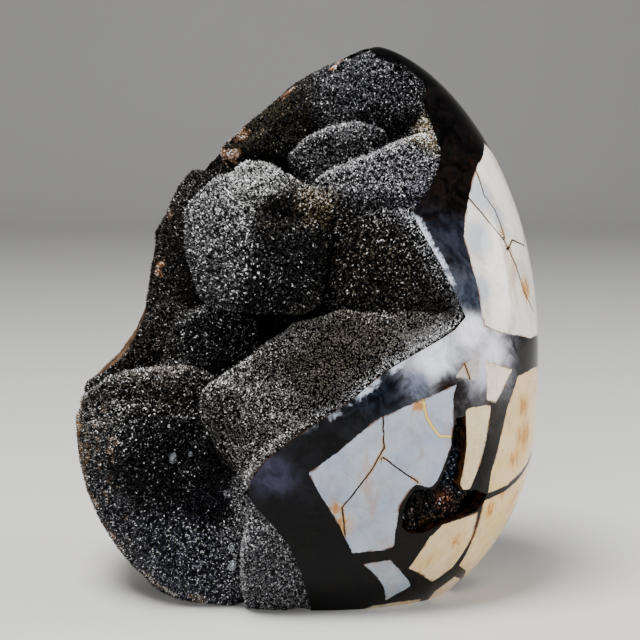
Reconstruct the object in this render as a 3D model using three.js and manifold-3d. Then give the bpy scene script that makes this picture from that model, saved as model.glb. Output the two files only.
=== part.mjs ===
// A septarian nodule: an egg-shaped concretion, ground and polished, whose front left side opens into a vug. The
// vug is filled with rounded mounds, and a crust of small crystals covers all of them. The widest of the veins in
// the polished side never closed either: it is a small vug of its own, lined with its own crust.
// Millimetres, +Z up. The stone stands on a flat base at z = 0, and +Y points to its back.

import * as THREE from "three";
import { ConvexGeometry } from "three/addons/geometries/ConvexGeometry.js";
import { mergeVertices } from "three/addons/utils/BufferGeometryUtils.js";
import Module from "manifold-3d";

const wasm = await Module();
wasm.setup();
const random = THREE.MathUtils.seededRandom;
random(11);

// Driving dimensions of the ground outside.
const height = 172;
const widestAt = 55; // height of the widest section
const halfWidth = 74; // at the widest section
const halfDepth = 58;
const belowWidest = 73; // how far under the widest section the outline would close, if the base weren't cut flat
const shoulderPower = 0.7; // over the widest section: 0.5 is an ellipse, and more draws the top to a point
const sectionPower = 2.3; // 2 is an ellipse, and more fills its corners
const leanAtTop = 23; // how far the top leans to +X
const leanPower = 1.35;
const leanBelow = -0.8;
const facesAround = 36;
const facesUp = 22;

// Driving dimensions of the crusts.
const crustThickness = 2.8;
const gap = 0.35; // between a crust and the stone that it grew on
const crystalWidth = 9;
const crystalHeight = 1.6;
const crystalShare = 0.6; // of the open faces that grow one
const cornerRise = 0.6; // of the crystals' feet, so that the faces between them don't cut into their mound
const veinDepth = 5.5; // of the open vein, under the ground surface
const veinCrustThickness = 2.6;
const veinCrystalWidth = 4;
const veinTurns = [0.33, 0.9]; // the stretch round the stone that its crust spans
const veinHeights = [22, 66];

const colours = { stone: 0x8f8a80, druse: 0x2a2624 };

// ---- solids and geometry ----

function bare(geometry) {
  const plain = geometry.index ? geometry.toNonIndexed() : geometry.clone();
  plain.deleteAttribute("normal");
  plain.deleteAttribute("uv");
  return plain;
}

function solidOf(geometry) {
  const merged = mergeVertices(bare(geometry), 1e-4);
  return new wasm.Manifold(
    new wasm.Mesh({
      numProp: 3,
      vertProperties: new Float32Array(merged.attributes.position.array),
      triVerts: new Uint32Array(merged.index.array),
    }),
  );
}

function geometryOf(solid) {
  const mesh = solid.getMesh();
  const geometry = new THREE.BufferGeometry();
  geometry.setAttribute("position", new THREE.BufferAttribute(mesh.vertProperties, 3));
  geometry.setIndex(new THREE.BufferAttribute(mesh.triVerts, 1));
  const flat = geometry.toNonIndexed();
  flat.computeVertexNormals();
  return flat;
}

const joined = (solids) => solids.reduce((all, one) => all.add(one));

const biggest = (solid) => solid.decompose().sort((a, b) => b.volume() - a.volume())[0];

function pointsOf(geometry) {
  const at = geometry.attributes.position;
  return Array.from({ length: at.count }, (_, i) => new THREE.Vector3().fromBufferAttribute(at, i));
}

// The hull of a few balls, [x, y, z, radius]. A coarse one lies inside it by skin or more.
function hullOf(balls) {
  return hullOfPoints(balls, (radius) => new THREE.IcosahedronGeometry(radius, 2));
}

function coarseHullOf(balls, skin) {
  return hullOfPoints(balls, (radius) => new THREE.OctahedronGeometry(radius - skin));
}

function hullOfPoints(balls, ballOf) {
  const points = balls.flatMap(([x, y, z, radius]) => pointsOf(ballOf(radius).translate(x, y, z)));
  return new ConvexGeometry(points);
}

function planesOf(hull) {
  const corners = pointsOf(hull);
  const first = corners.filter((_, i) => i % 3 === 0);
  return first.map((a, i) => new THREE.Plane().setFromCoplanarPoints(a, corners[3 * i + 1], corners[3 * i + 2]));
}

// ---- the outside ----

// u runs from -1 at the bottom pole, through 0 at the widest section, to 1 at the top.
const heightAt = (u) => widestAt + u * (u < 0 ? belowWidest : height - widestAt);
const uAt = (z) => (z - widestAt) / (z < widestAt ? belowWidest : height - widestAt);
const widthShare = (u) => (1 - u * u) ** (u < 0 ? 0.5 : shoulderPower);
const centreX = (u) => leanBelow + leanAtTop * Math.max(u, 0) ** leanPower;

// A point of the ground surface, or under it by inset. Turn goes round the stone: 0 is its front, and a quarter
// turn is its right side, +X.
function outsidePoint(turn, u, inset = 0) {
  const x = Math.sin(turn);
  const y = -Math.cos(turn);
  const corner = (Math.abs(x) ** sectionPower + Math.abs(y) ** sectionPower) ** (-1 / sectionPower);
  const share = widthShare(u) * corner;
  return new THREE.Vector3(
    centreX(u) + x * share * (halfWidth - inset),
    y * share * (halfDepth - inset),
    heightAt(u) - u * inset,
  );
}

function isInside({ x, y, z }, inset) {
  const u = (z - widestAt) / ((z < widestAt ? belowWidest : height - widestAt) - inset);
  const across = Math.abs(x - centreX(u)) / (halfWidth - inset);
  const along = Math.abs(y) / (halfDepth - inset);
  return Math.abs(u) < 1 && across ** sectionPower + along ** sectionPower < widthShare(u) ** sectionPower;
}

// Two places on the left were never ground: the rind bulges out over the shoulder, and draws in under it.
const rindBulge = [
  [-37, 1, 125, 9], [-30, 3, 131, 7.5], [-35, 14, 118, 11], [-27, 28, 110, 13], [-10, 8, 122, 14],
];
const rindHollow = [
  [-87, -60, 94, 36], [-87, -20, 95, 36], [-83, -20, 108, 34], [-85, 18, 95, 34], [-82, 18, 108, 32],
  [-90, 46, 96, 33], [-98, 70, 96, 32],
];

function outsideSolid(inset = 0) {
  const ball = new THREE.SphereGeometry(1, facesAround, facesUp);
  const at = ball.attributes.position;
  for (let i = 0; i < at.count; i++) {
    const point = outsidePoint(Math.atan2(at.getX(i), at.getZ(i)), at.getY(i), inset);
    at.setXYZ(i, point.x, point.y, point.z);
  }
  const below = new THREE.BoxGeometry(4 * halfWidth, 4 * halfDepth, 2 * height);
  below.translate(0, 0, inset - height);
  const bulge = solidOf(hullOf(rindBulge.map(([x, y, z, radius]) => [x, y, z, radius - inset])));
  const hollow = solidOf(hullOf(rindHollow.map(([x, y, z, radius]) => [x, y, z, radius + inset])));
  return solidOf(ball).add(bulge).subtract(hollow).subtract(solidOf(below));
}

// ---- the vug ----

// Where the ground surface ends at the vug, seen from the front: x and z, from the top down to the base.
const vugEdge = [
  [15, 176], [22.7, 168.5], [30.4, 165.1], [34.2, 159.8], [35.8, 153.7], [37.7, 148.6], [40.5, 140.2],
  [39.4, 133.8], [36.2, 128], [31.2, 122.3], [34.7, 115.6], [39.4, 107.7], [43.9, 98.9], [47.2, 91.4],
  [43.8, 87.8], [39.3, 85.2], [30.9, 80.9], [23, 76.5], [13.3, 68.5], [4.6, 62.8], [-4.2, 56.9],
  [-11.8, 50.6], [-16.2, 44.5], [-17.1, 40.1], [-14.8, 36.1], [-9.6, 30.4], [-4.6, 23.2], [-1.1, 13.1],
  [1, 2.4], [1.5, -10],
];
const vugOutside = [[-100, -10], [-100, 176]]; // clear of the stone on the left
const floorAt = (x, z) => -35.3 - 0.366 * x + 0.298 * z; // its y

// An outline that runs counter-clockwise, drawn in along the mean of each corner's two sides.
function drawnIn(outline, distance) {
  return outline.map(([x, z], i) => {
    const [px, pz] = outline.at(i - 1);
    const [nx, nz] = outline[(i + 1) % outline.length];
    const before = new THREE.Vector2(x - px, z - pz).normalize();
    const after = new THREE.Vector2(nx - x, nz - z).normalize();
    const inward = new THREE.Vector2(-before.y - after.y, before.x + after.x).normalize();
    return [x + inward.x * distance, z + inward.y * distance];
  });
}

function extruded(outline, depth) {
  const shape = new THREE.Shape(outline.map(([x, z]) => new THREE.Vector2(x, z)));
  return new THREE.ExtrudeGeometry(shape, { depth, steps: 1, bevelEnabled: false });
}

// What the vug takes out of the stone. Its sides run straight back from the edge to a slanting floor.
function vugSolid({ drawIn, floorDrop }) {
  const geometry = extruded(drawnIn([...vugEdge, ...vugOutside].reverse(), drawIn), 1);
  const at = geometry.attributes.position;
  for (let i = 0; i < at.count; i++) {
    const x = at.getX(i);
    const z = at.getY(i);
    at.setXYZ(i, x, at.getZ(i) > 0.5 ? -2 * halfDepth : floorAt(x, z) + floorDrop, z);
  }
  return solidOf(geometry);
}

// Each mound is the hull of a few balls: the first ones shape its face, and the last ones root it in the stone.
const mounds = {
  lowerLeftBlock: [
    [-66.5, -16, 55.2, 6], [-56.4, -24, 62.3, 7], [-43.5, -30, 63.4, 7], [-32.6, -32, 63.7, 6],
    [-67.6, -16, 44, 6], [-48, -33, 49, 12], [-30.2, -34, 49.2, 8], [-24.1, -35, 32.3, 7],
    [-63.2, -16, 26.3, 6], [-56, -14, 9.6, 6], [-42.7, -28, 13.2, 9], [-25, -32, 17.4, 8],
    [-48.3, -19, 1.8, 5], [-24.6, -30, 4.2, 5], [-45, 8, 40, 25],
  ],
  ridge: [
    [-26.6, -42, 65.7, 5], [-20, -40.5, 70, 4.5], [-2, -38, 83.3, 5], [11.5, -37.5, 87.8, 4.5],
    [28.1, -37, 86.2, 4], [44.8, -38.5, 85.2, 3.5], [-13.2, -50, 42.7, 4], [-16.8, -48, 45.9, 4],
    [-3.4, -51, 58, 4], [12.8, -51, 68.1, 4], [30.6, -48, 78.4, 4], [-22.3, -45, 52.9, 5], [-2, -20, 62, 12],
    [-21, -22, 58, 8],
  ],
  footMound: [
    [-13, -47.5, 31.5, 4.5], [-14.9, -46.5, 22.7, 4.5], [-15.4, -42.5, 12.4, 4.5], [-15, -36.5, 3.5, 4.5],
    [-5, -46, 17.9, 4], [-4.6, -38.5, 6, 4.5], [-8.5, -49, 27.9, 4], [-10, -25, 15, 8],
  ],
  boulder: [
    [-30.7, -26, 120.7, 6], [-30.3, -30, 110.1, 6], [-26.9, -32.5, 98.4, 5.5], [-18.4, -39, 99.4, 7],
    [-2, -39, 98.8, 7], [-20.1, -33, 111.8, 9], [0.4, -37, 112.2, 7], [1.6, -33, 120.9, 5],
    [-24.1, -24, 126.7, 6], [-14.9, -25, 128, 6], [-15, -5, 112, 16],
  ],
  overhang: [
    [13.6, -33, 118.8, 5], [28.5, -37.5, 120, 3.5], [36.8, -39, 110.8, 4], [42.9, -39, 95.8, 4],
    [11.7, -26, 94.4, 6], [35.9, -31, 91.3, 5], [22.1, -32, 105.7, 8], [20, -8, 107, 16],
  ],
  thirdLedge: [
    [5.5, -32, 128.6, 4], [11.5, -32.5, 131.7, 3.5], [19.7, -31, 134.9, 3.5], [28.2, -29, 138.1, 3.5],
    [35.8, -26, 142.3, 3], [37.5, -29.8, 135.8, 3.2], [35.1, -34.5, 128.5, 3.5], [27.9, -36, 126.7, 4],
    [12.1, -36, 125.9, 4], [20, -8, 127, 12],
  ],
  secondLedge: [
    [-2.7, -23.5, 136.5, 3.5], [1.6, -23.5, 140.4, 3.5], [7.4, -23.5, 143.4, 3.5], [14.7, -22.5, 144.6, 3.5],
    [21.1, -23, 143.4, 3], [10.1, -23, 135.5, 4], [1.6, -24, 132.2, 4], [12, -2, 134, 13],
  ],
  topMound: [
    [18, -7.5, 163.3, 4.5], [27.1, -8.5, 162, 4.5], [32.1, -13.5, 157.7, 4.5], [33.2, -17, 151.6, 4],
    [27.4, -16, 149.7, 4], [19.4, -15.5, 151.6, 4.5], [11.9, -4, 164, 4], [17, 4, 150, 12], [14, -9, 146, 6],
    [30, -11, 145, 6],
  ],
  topMoundLeft: [
    [4.3, -9.5, 156.5, 4.5], [4.3, -13.5, 150.3, 4.5], [9.6, -8, 159.6, 4], [12, -16, 149.1, 4],
    [13.3, -13, 155.2, 4], [10, -2, 146, 9],
  ],
  upperLeftSlope: [
    [-24, 4, 138, 4], [-3, 4, 156, 4], [9, 5, 164, 4], [-14.2, -8, 139.1, 4], [-2.2, -10, 139.7, 5],
    [1.5, -8, 149.7, 4], [5.6, -2, 161.5, 4], [0, 10, 142, 10], [-8, 4, 132, 8],
  ],
  leftWall: [
    [-35, 2, 127, 6], [-41, 3, 117, 5], [-44, 3, 110, 4], [-45, 1, 93, 5], [-34, -4, 122, 6],
    [-36, -1, 107.7, 8], [-37.7, -1, 94.8, 8], [-25, 8, 110, 10], [-46, 6, 86, 8],
  ],
  middleLeftMound: [
    [-36.5, -18, 82.2, 6], [-30.1, -21, 85.4, 6], [-20.7, -22.5, 85.6, 5.5], [-19.2, -24, 78, 6],
    [-30, -24, 74.9, 6], [-40.4, -18, 72.1, 6], [-32, 8, 76, 13],
  ],
  lowestLeftMound: [
    [-44.5, -5, 86.9, 5], [-39.9, -7, 85.9, 5], [-51.1, -7, 78.5, 5], [-54.2, -8, 72.5, 5],
    [-45.1, -10.5, 76.7, 5.5], [-46.7, -11, 69.8, 5], [-46, 8, 76, 10],
  ],
};

// A net of even faces, stretched to the size of a hull and pressed onto it.
function netOver(hull) {
  hull.computeBoundingBox();
  const centre = hull.boundingBox.getCenter(new THREE.Vector3());
  const half = hull.boundingBox.getSize(new THREE.Vector3()).divideScalar(2);
  const area = (4 / 3) * Math.PI * (half.x * half.y + half.y * half.z + half.z * half.x);
  const detail = THREE.MathUtils.clamp(Math.round(Math.sqrt(area / 20 / 0.433) / crystalWidth) - 1, 2, 4);
  const net = mergeVertices(bare(new THREE.IcosahedronGeometry(1, detail)), 1e-4);
  const planes = planesOf(hull);
  const at = net.attributes.position;
  pointsOf(net).forEach((point, i) => {
    point.x += (random() - 0.5) * (0.6 / detail);
    point.z += (random() - 0.5) * (0.6 / detail);
    point.multiply(half);
    const reaches = planes
      .filter((plane) => plane.normal.dot(point) > 1e-6)
      .map((plane) => -plane.distanceToPoint(centre) / plane.normal.dot(point));
    point.multiplyScalar(Math.min(...reaches));
    point.setLength(point.length() + cornerRise).add(centre);
    at.setXYZ(i, point.x, point.y, point.z);
  });
  return net;
}

// Most of the faces that lie open grow one low three-sided crystal, no two of the same height.
function withCrystals(net, isOpen) {
  const corners = pointsOf(bare(net));
  const out = [];
  for (let i = 0; i < corners.length; i += 3) {
    const face = corners.slice(i, i + 3);
    if (random() > crystalShare || !face.every(isOpen)) {
      out.push(...face);
      continue;
    }
    const triangle = new THREE.Triangle(...face);
    const rise = crystalHeight * (0.5 + random()) * Math.min(1, Math.sqrt(triangle.getArea()) / 4);
    const tip = triangle.getNormal(new THREE.Vector3()).multiplyScalar(rise);
    tip.add(triangle.getMidpoint(new THREE.Vector3()));
    face.forEach((corner, k) => out.push(corner, face[(k + 1) % 3], tip));
  }
  return new THREE.BufferGeometry().setFromPoints(out);
}

function crystalMounds() {
  const hulls = Object.values(mounds).map(hullOf);
  const planes = hulls.map(planesOf);
  const isOpenOn = (own) => (point) =>
    point.y < floorAt(point.x, point.z) - 1 &&
    isInside(point, crystalHeight) &&
    !planes.some((others, i) => i !== own && others.every((plane) => plane.distanceToPoint(point) < 0));
  return joined(hulls.map((hull, i) => solidOf(withCrystals(netOver(hull), isOpenOn(i)))));
}

// A few clear crystals that outgrew the others, on the face of the lower left block: [x, y, z, radius].
const largerCrystals = [
  [-40, -44, 48.8, 2.2], [-34.9, -43.8, 49.7, 1.3], [-22.7, -40.2, 14.3, 2.2], [-22.7, -41, 19.8, 1.5],
  [-24.3, -42, 38, 1.3],
];

function largerCrystal([x, y, z, radius]) {
  const column = new THREE.CylinderGeometry(0.4 * radius, radius, 2.4 * radius, 6);
  column.rotateX(Math.PI + 0.6 * (random() - 0.5)).rotateZ(random() - 0.5);
  return solidOf(column.translate(x, y, z));
}

// The mounds as they are under a crust of this thickness.
function stoneMounds(crust) {
  const hulls = Object.values(mounds).map((balls) => solidOf(coarseHullOf(balls, crust)));
  return joined(hulls).intersect(outsideSolid(crust));
}

// ---- the open vein ----

const veinTurn = THREE.MathUtils.degToRad(28); // it faces the front, turned this far to the right
const veinEdge = [
  [16, 61.8], [19.5, 62.1], [20, 53.3], [19.3, 47.3], [18.4, 41.4], [20.2, 39], [24.8, 38.8], [29.6, 36.7],
  [29, 33.9], [26.2, 31.7], [21, 30.5], [16.1, 29.5], [12.2, 28.3], [8.6, 26.7], [4.1, 26.8], [1.1, 29.3],
  [0.7, 34.1], [1.7, 38.5], [3.6, 40.9], [6.4, 41], [9.6, 40.4], [11.6, 43.4], [13.3, 47.8], [14.8, 53.2],
  [15, 57.7],
];

function veinSolid(drawIn) {
  const geometry = extruded(drawnIn([...veinEdge].reverse(), drawIn), 40);
  geometry.translate(0, 0, 40).rotateX(Math.PI / 2).rotateZ(veinTurn);
  return solidOf(geometry);
}

// A slab that follows the ground surface, from the vein's floor up to its crust, where the corners of its net are
// the tips and the feet of crystals.
function veinCrustSlab() {
  const columns = Math.round(((veinTurns[1] - veinTurns[0]) * halfWidth) / veinCrystalWidth);
  const rows = Math.round((veinHeights[1] - veinHeights[0]) / veinCrystalWidth);
  const net = mergeVertices(bare(new THREE.BoxGeometry(1, 1, 1, columns, rows, 1)), 1e-4);
  const at = net.attributes.position;
  for (let i = 0; i < at.count; i++) {
    const shift = (random() - 0.5) * 0.6;
    const turn = THREE.MathUtils.lerp(...veinTurns, at.getX(i) + 0.5 + shift / columns);
    const z = THREE.MathUtils.lerp(...veinHeights, at.getY(i) + 0.5 + shift / rows);
    const front = veinDepth - veinCrustThickness * (0.6 + 0.6 * random());
    const point = outsidePoint(turn, uAt(z), at.getZ(i) > 0 ? front : veinDepth - gap);
    at.setXYZ(i, point.x, point.y, point.z);
  }
  return solidOf(net);
}

const outside = outsideSolid();
const openVein = veinSolid(0).subtract(outsideSolid(veinDepth));
const nodule = outside
  .subtract(vugSolid({ drawIn: 0, floorDrop: crustThickness }).subtract(stoneMounds(crustThickness)))
  .subtract(openVein);
const veinDruse = veinSolid(gap).intersect(veinCrustSlab());
const druse = outside
  .intersect(vugSolid({ drawIn: gap, floorDrop: crustThickness - gap }))
  .subtract(vugSolid({ drawIn: 0, floorDrop: 0 }).subtract(crystalMounds()))
  .add(joined(largerCrystals.map(largerCrystal)))
  .subtract(stoneMounds(crustThickness - gap));

// ---- the part ----

function mesh(name, solid, material) {
  const made = new THREE.Mesh(geometryOf(solid), material);
  made.name = name;
  return made;
}

const stoneFinish = new THREE.MeshStandardMaterial({ color: colours.stone, roughness: 0.15, metalness: 0 });
const druseFinish = new THREE.MeshStandardMaterial({ color: colours.druse, roughness: 0.35, metalness: 0 });

const part = new THREE.Group();
part.add(mesh("nodule", nodule, stoneFinish));
part.add(mesh("druse", biggest(druse), druseFinish));
part.add(mesh("vein_druse", veinDruse, druseFinish.clone()));

// The middle of the part stands over the origin.
const middle = new THREE.Box3().setFromObject(part).getCenter(new THREE.Vector3());
part.position.set(-middle.x, -middle.y, 0);

export default part;
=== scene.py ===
# A septarian nodule with an open vug: the ground and polished stone, the crust of small crystals that lines
# its vug and its one open vein, and a few clear crystals. Metres, +Z up, and the vug opens towards -Y.
import math

import bmesh
import bpy
import numpy as np
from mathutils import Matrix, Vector, kdtree, noise
from mathutils.bvhtree import BVHTree


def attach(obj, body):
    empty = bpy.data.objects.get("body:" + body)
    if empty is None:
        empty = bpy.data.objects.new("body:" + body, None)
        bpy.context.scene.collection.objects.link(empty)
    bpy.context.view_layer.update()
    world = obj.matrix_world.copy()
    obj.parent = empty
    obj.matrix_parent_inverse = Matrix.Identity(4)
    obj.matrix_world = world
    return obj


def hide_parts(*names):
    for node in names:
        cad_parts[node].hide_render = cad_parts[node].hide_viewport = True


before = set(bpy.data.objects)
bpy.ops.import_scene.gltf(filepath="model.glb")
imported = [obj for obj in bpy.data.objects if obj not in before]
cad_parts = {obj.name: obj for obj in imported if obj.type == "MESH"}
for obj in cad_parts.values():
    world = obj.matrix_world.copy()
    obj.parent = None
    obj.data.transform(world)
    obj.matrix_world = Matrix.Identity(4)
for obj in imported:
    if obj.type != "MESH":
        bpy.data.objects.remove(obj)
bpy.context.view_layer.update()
mm = 0.001


# sRGB hex to linear RGBA
def linear(hexCode):
    parts = [int(hexCode[i:i + 2], 16) / 255 for i in (1, 3, 5)]
    return [c / 12.92 if c <= 0.04045 else ((c + 0.055) / 1.055) ** 2.4 for c in parts] + [1.0]


# a node's inputs, as values or as links from the outputs of others
def setInputs(tree, node, inputs):
    for key, value in inputs.items() if isinstance(inputs, dict) else enumerate(inputs):
        if isinstance(value, bpy.types.NodeSocket):
            tree.links.new(value, node.inputs[key])
        else:
            node.inputs[key].default_value = value


# a node with its settings and inputs, of which one output is given back
def addNode(tree, kind, inputs=(), output=0, **settings):
    node = tree.nodes.new("ShaderNode" + kind)
    for name, value in settings.items():
        setattr(node, name, value)
    setInputs(tree, node, inputs)
    return node.outputs[output]


def newMaterial(name):
    material = bpy.data.materials.new(name)
    material.use_nodes = True
    tree = material.node_tree
    tree.nodes.clear()
    surface = tree.nodes.new("ShaderNodeBsdfPrincipled")
    output = tree.nodes.new("ShaderNodeOutputMaterial")
    tree.links.new(surface.outputs["BSDF"], output.inputs["Surface"])
    return material, tree, surface


def newObject(name, data):
    made = bpy.data.objects.new(name, data)
    bpy.context.scene.collection.objects.link(made)
    return made


def newPiece(name, mesh, material):
    mesh.materials.clear()
    mesh.materials.append(material)
    return newObject(name, mesh)


# points in mm and faces of one corner count, as a mesh
def meshOf(name, points, faces):
    mesh = bpy.data.meshes.new(name)
    points = np.asarray(points, dtype=np.float32)
    faces = np.asarray(faces, dtype=np.int32)
    corners = faces.shape[1]
    mesh.vertices.add(len(points))
    mesh.vertices.foreach_set("co", (points * mm).ravel())
    mesh.loops.add(faces.size)
    mesh.loops.foreach_set("vertex_index", faces.ravel())
    mesh.polygons.add(len(faces))
    mesh.polygons.foreach_set("loop_start", np.arange(0, faces.size, corners, dtype=np.int32))
    mesh.update(calc_edges=True)
    return mesh


# a bmesh form as a mesh
def meshFrom(form, name):
    mesh = bpy.data.meshes.new(name)
    form.to_mesh(mesh)
    form.free()
    return mesh


# a row of three for each of a mesh's points or faces
def valuesOf(items, name):
    flat = np.empty(len(items) * 3, dtype=np.float32)
    items.foreach_get(name, flat)
    return flat.reshape(-1, 3).astype(float)


def pointsOf(mesh):
    return valuesOf(mesh.vertices, "co") / mm


def putPoints(mesh, points):
    mesh.vertices.foreach_set("co", (points * mm).astype(np.float32).ravel())
    mesh.update()


# one value or one colour for each point, face or corner, as an attribute
def putValues(mesh, name, values, domain="POINT"):
    values = np.asarray(values, dtype=np.float32)
    kind, field = ("FLOAT_COLOR", "color") if values.ndim > 1 else ("FLOAT", "value")
    mesh.attributes.new(name, kind, domain).data.foreach_set(field, values.ravel())


# a mesh after one of Blender's modifiers
def modified(mesh, kind, **settings):
    piece = newObject("form", mesh)
    modifier = piece.modifiers.new(kind, kind)
    for name, value in settings.items():
        setattr(modifier, name, value)
    graph = bpy.context.evaluated_depsgraph_get()
    mesh = bpy.data.meshes.new_from_object(piece.evaluated_get(graph))
    bpy.data.objects.remove(piece)
    return mesh


def smoothStep(low, high, value):
    share = np.clip((value - low) / (high - low), 0, 1)
    return share * share * (3 - 2 * share)


# noise in -1..1 at points in mm, with features of about this size in mm
def noiseAt(points, size, seed=0.0):
    shift = Vector((seed, 2.7 * seed, -1.3 * seed))
    return np.array([noise.noise(Vector(p) / size + shift) for p in points])


# how much each of some places counts at points, each place [x, y, z, reach in mm, ...]
def sharesOf(points, places, power=2.0):
    weights = []
    for x, y, z, reach, *_ in places:
        apart = np.linalg.norm(points - (x, y, z), axis=1) / reach
        weights.append(1 / (apart ** 2 + 0.05) ** power)
    weights = np.array(weights).T
    return weights / weights.sum(axis=1, keepdims=True)


def blendTints(points, places):
    return sharesOf(points, places) @ np.array([linear(place[4]) for place in places])


stone = {
    "seed": 4,
    "height": 172,           # mm
    "widestAt": 55,
    "halfWidth": 74,
    "halfDepth": 58,
    "belowWidest": 73,
    "shoulderPower": 0.7,
    "sectionPower": 2.3,
    "leanAtTop": 23,
    "leanPower": 1.35,
    "leanPower": 1.35,
    "leanBelow": -0.8,
    "middleX": 0.26,         # of the stone's axis at its foot, over the middle of its footprint
    "fineFrom": -28,         # degrees round the stone where the mesh is fine, 0 is the front
    "fineTo": 95,
    "fineStep": 0.62,        # mm, at the mesh's radius
    "coarseStep": 1.35,
    "rowStep": 0.72,
    "meshRadius": 64,
    "sharpFrom": 32,         # degrees between two faces
    "crust": 2.8,            # mm of crystals, over the stone in the vug
    "vugFloor": [-35.3, -0.366, 0.298],    # its y over the middle of the foot, and its rise along x and z
    "floorSlant": 1.11,      # mm along y for one square to the floor
    "veinDepth": 5.5,
    "veinRadius": 62,        # mm, of the stone at the open vein
}

# the rind that was never ground bulges over the left shoulder and draws in under it: balls, [x, y, z, radius]
rind = {
    "bulge": [[-37, 1, 125, 9], [-30, 3, 131, 7.5], [-35, 14, 118, 11], [-27, 28, 110, 13],
              [-10, 8, 122, 14]],
    "hollow": [[-87, -60, 94, 36], [-87, -20, 95, 36], [-83, -20, 108, 34], [-85, 18, 95, 34],
               [-82, 18, 108, 32], [-90, 46, 96, 33], [-98, 70, 96, 32]],
    "roughness": 0.5,        # mm, of its surface
    "grain": 4,
    "within": [10, 40, 150], # mm: left of this x and between these heights
}

# where the ground surface ends at the vug, seen from the front: x and z in mm, from the top to the base
vugEdge = [
    [15, 176], [22.7, 168.5], [30.4, 165.1], [34.2, 159.8], [35.8, 153.7], [37.7, 148.6], [40.5, 140.2],
    [39.4, 133.8], [36.2, 128], [31.2, 122.3], [34.7, 115.6], [39.4, 107.7], [43.9, 98.9], [47.2, 91.4],
    [43.8, 87.8], [39.3, 85.2], [30.9, 80.9], [23, 76.5], [13.3, 68.5], [4.6, 62.8], [-4.2, 56.9],
    [-11.8, 50.6], [-16.2, 44.5], [-17.1, 40.1], [-14.8, 36.1], [-9.6, 30.4], [-4.6, 23.2], [-1.1, 13.1],
    [1, 2.4], [1.5, -10],
]

# the outline of the vein that never closed, on a plane that faces 28 degrees right of the front
openVein = {
    "turn": math.radians(28),
    "cutFrom": 80,           # mm from the stone's axis, outside the stone
    "searched": [70, 40],    # mm from the axis, where its floor lies between
    "edge": [
        [16, 61.8], [19.5, 62.1], [20, 53.3], [19.3, 47.3], [18.4, 41.4], [20.2, 39], [24.8, 38.8],
        [29.6, 36.7], [29, 33.9], [26.2, 31.7], [21, 30.5], [16.1, 29.5], [12.2, 28.3], [8.6, 26.7],
        [4.1, 26.8], [1.1, 29.3], [0.7, 34.1], [1.7, 38.5], [3.6, 40.9], [6.4, 41], [9.6, 40.4],
        [11.6, 43.4], [13.3, 47.8], [14.8, 53.2], [15, 57.7],
    ],
}

# the outline of the vug goes on past the stone's left
pastLeft = [[-100, -10], [-100, 176]]


def shareAt(u):
    return (1 - np.clip(u * u, 0, 1)) ** np.where(u < 0, 0.5, stone["shoulderPower"])


def axisAt(u):
    return stone["leanBelow"] + stone["leanAtTop"] * np.maximum(u, 0) ** stone["leanPower"] + stone["middleX"]


def heightAt(u):
    return stone["widestAt"] + u * np.where(u < 0, stone["belowWidest"], stone["height"] - stone["widestAt"])


def uAt(z):
    up = z >= stone["widestAt"]
    return (z - stone["widestAt"]) / np.where(up, stone["height"] - stone["widestAt"], stone["belowWidest"])


# points of the ground surface in mm, or under it by inset. Turn 0 is the front, and a quarter turn is +X.
def groundPoints(turn, u, inset=0.0):
    x = np.sin(turn)
    y = -np.cos(turn)
    power = stone["sectionPower"]
    corner = (np.abs(x) ** power + np.abs(y) ** power) ** (-1 / power)
    share = shareAt(u) * corner
    return np.stack([
        axisAt(u) + x * share * (stone["halfWidth"] - inset),
        y * share * (stone["halfDepth"] - inset),
        heightAt(u) - u * inset,
    ], axis=-1)


def turnsOf(points):
    u = uAt(points[:, 2])
    return np.arctan2((points[:, 0] - axisAt(u)) / stone["halfWidth"], -points[:, 1] / stone["halfDepth"])


# 1 on the ground surface, less inside it
def levelOf(points):
    u = np.clip(uAt(points[:, 2]), -1, 0.9999)
    share = shareAt(u)
    across = np.abs(points[:, 0] - axisAt(u)) / (stone["halfWidth"] * share)
    along = np.abs(points[:, 1]) / (stone["halfDepth"] * share)
    power = stone["sectionPower"]
    return (across ** power + along ** power) ** (1 / power)


def floorAt(x, z):
    start, alongX, alongZ = stone["vugFloor"]
    return start + alongX * x + alongZ * z


def floorOfVug(points):
    return floorAt(points[:, 0] - stone["middleX"], points[:, 2])


# an outline's point, moved back to the vug's floor and on behind it
def onFloor(point, behind):
    return (point[0] + stone["middleX"], floorAt(*point) + behind, point[1])


# the hull of a few balls, [x, y, z, radius] in mm
def hullForm(balls):
    form = bmesh.new()
    for x, y, z, radius in balls:
        ball = bmesh.ops.create_icosphere(form, subdivisions=3, radius=radius)
        bmesh.ops.translate(form, verts=ball["verts"], vec=(x + stone["middleX"], y, z))
    made = bmesh.ops.convex_hull(form, input=form.verts)
    inner = [item for item in made["geom_interior"] if isinstance(item, bmesh.types.BMVert)]
    bmesh.ops.delete(form, geom=inner, context="VERTS")
    return form


def hullTree(balls):
    form = hullForm(balls)
    tree = BVHTree.FromBMesh(form)
    form.free()
    return tree


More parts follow.
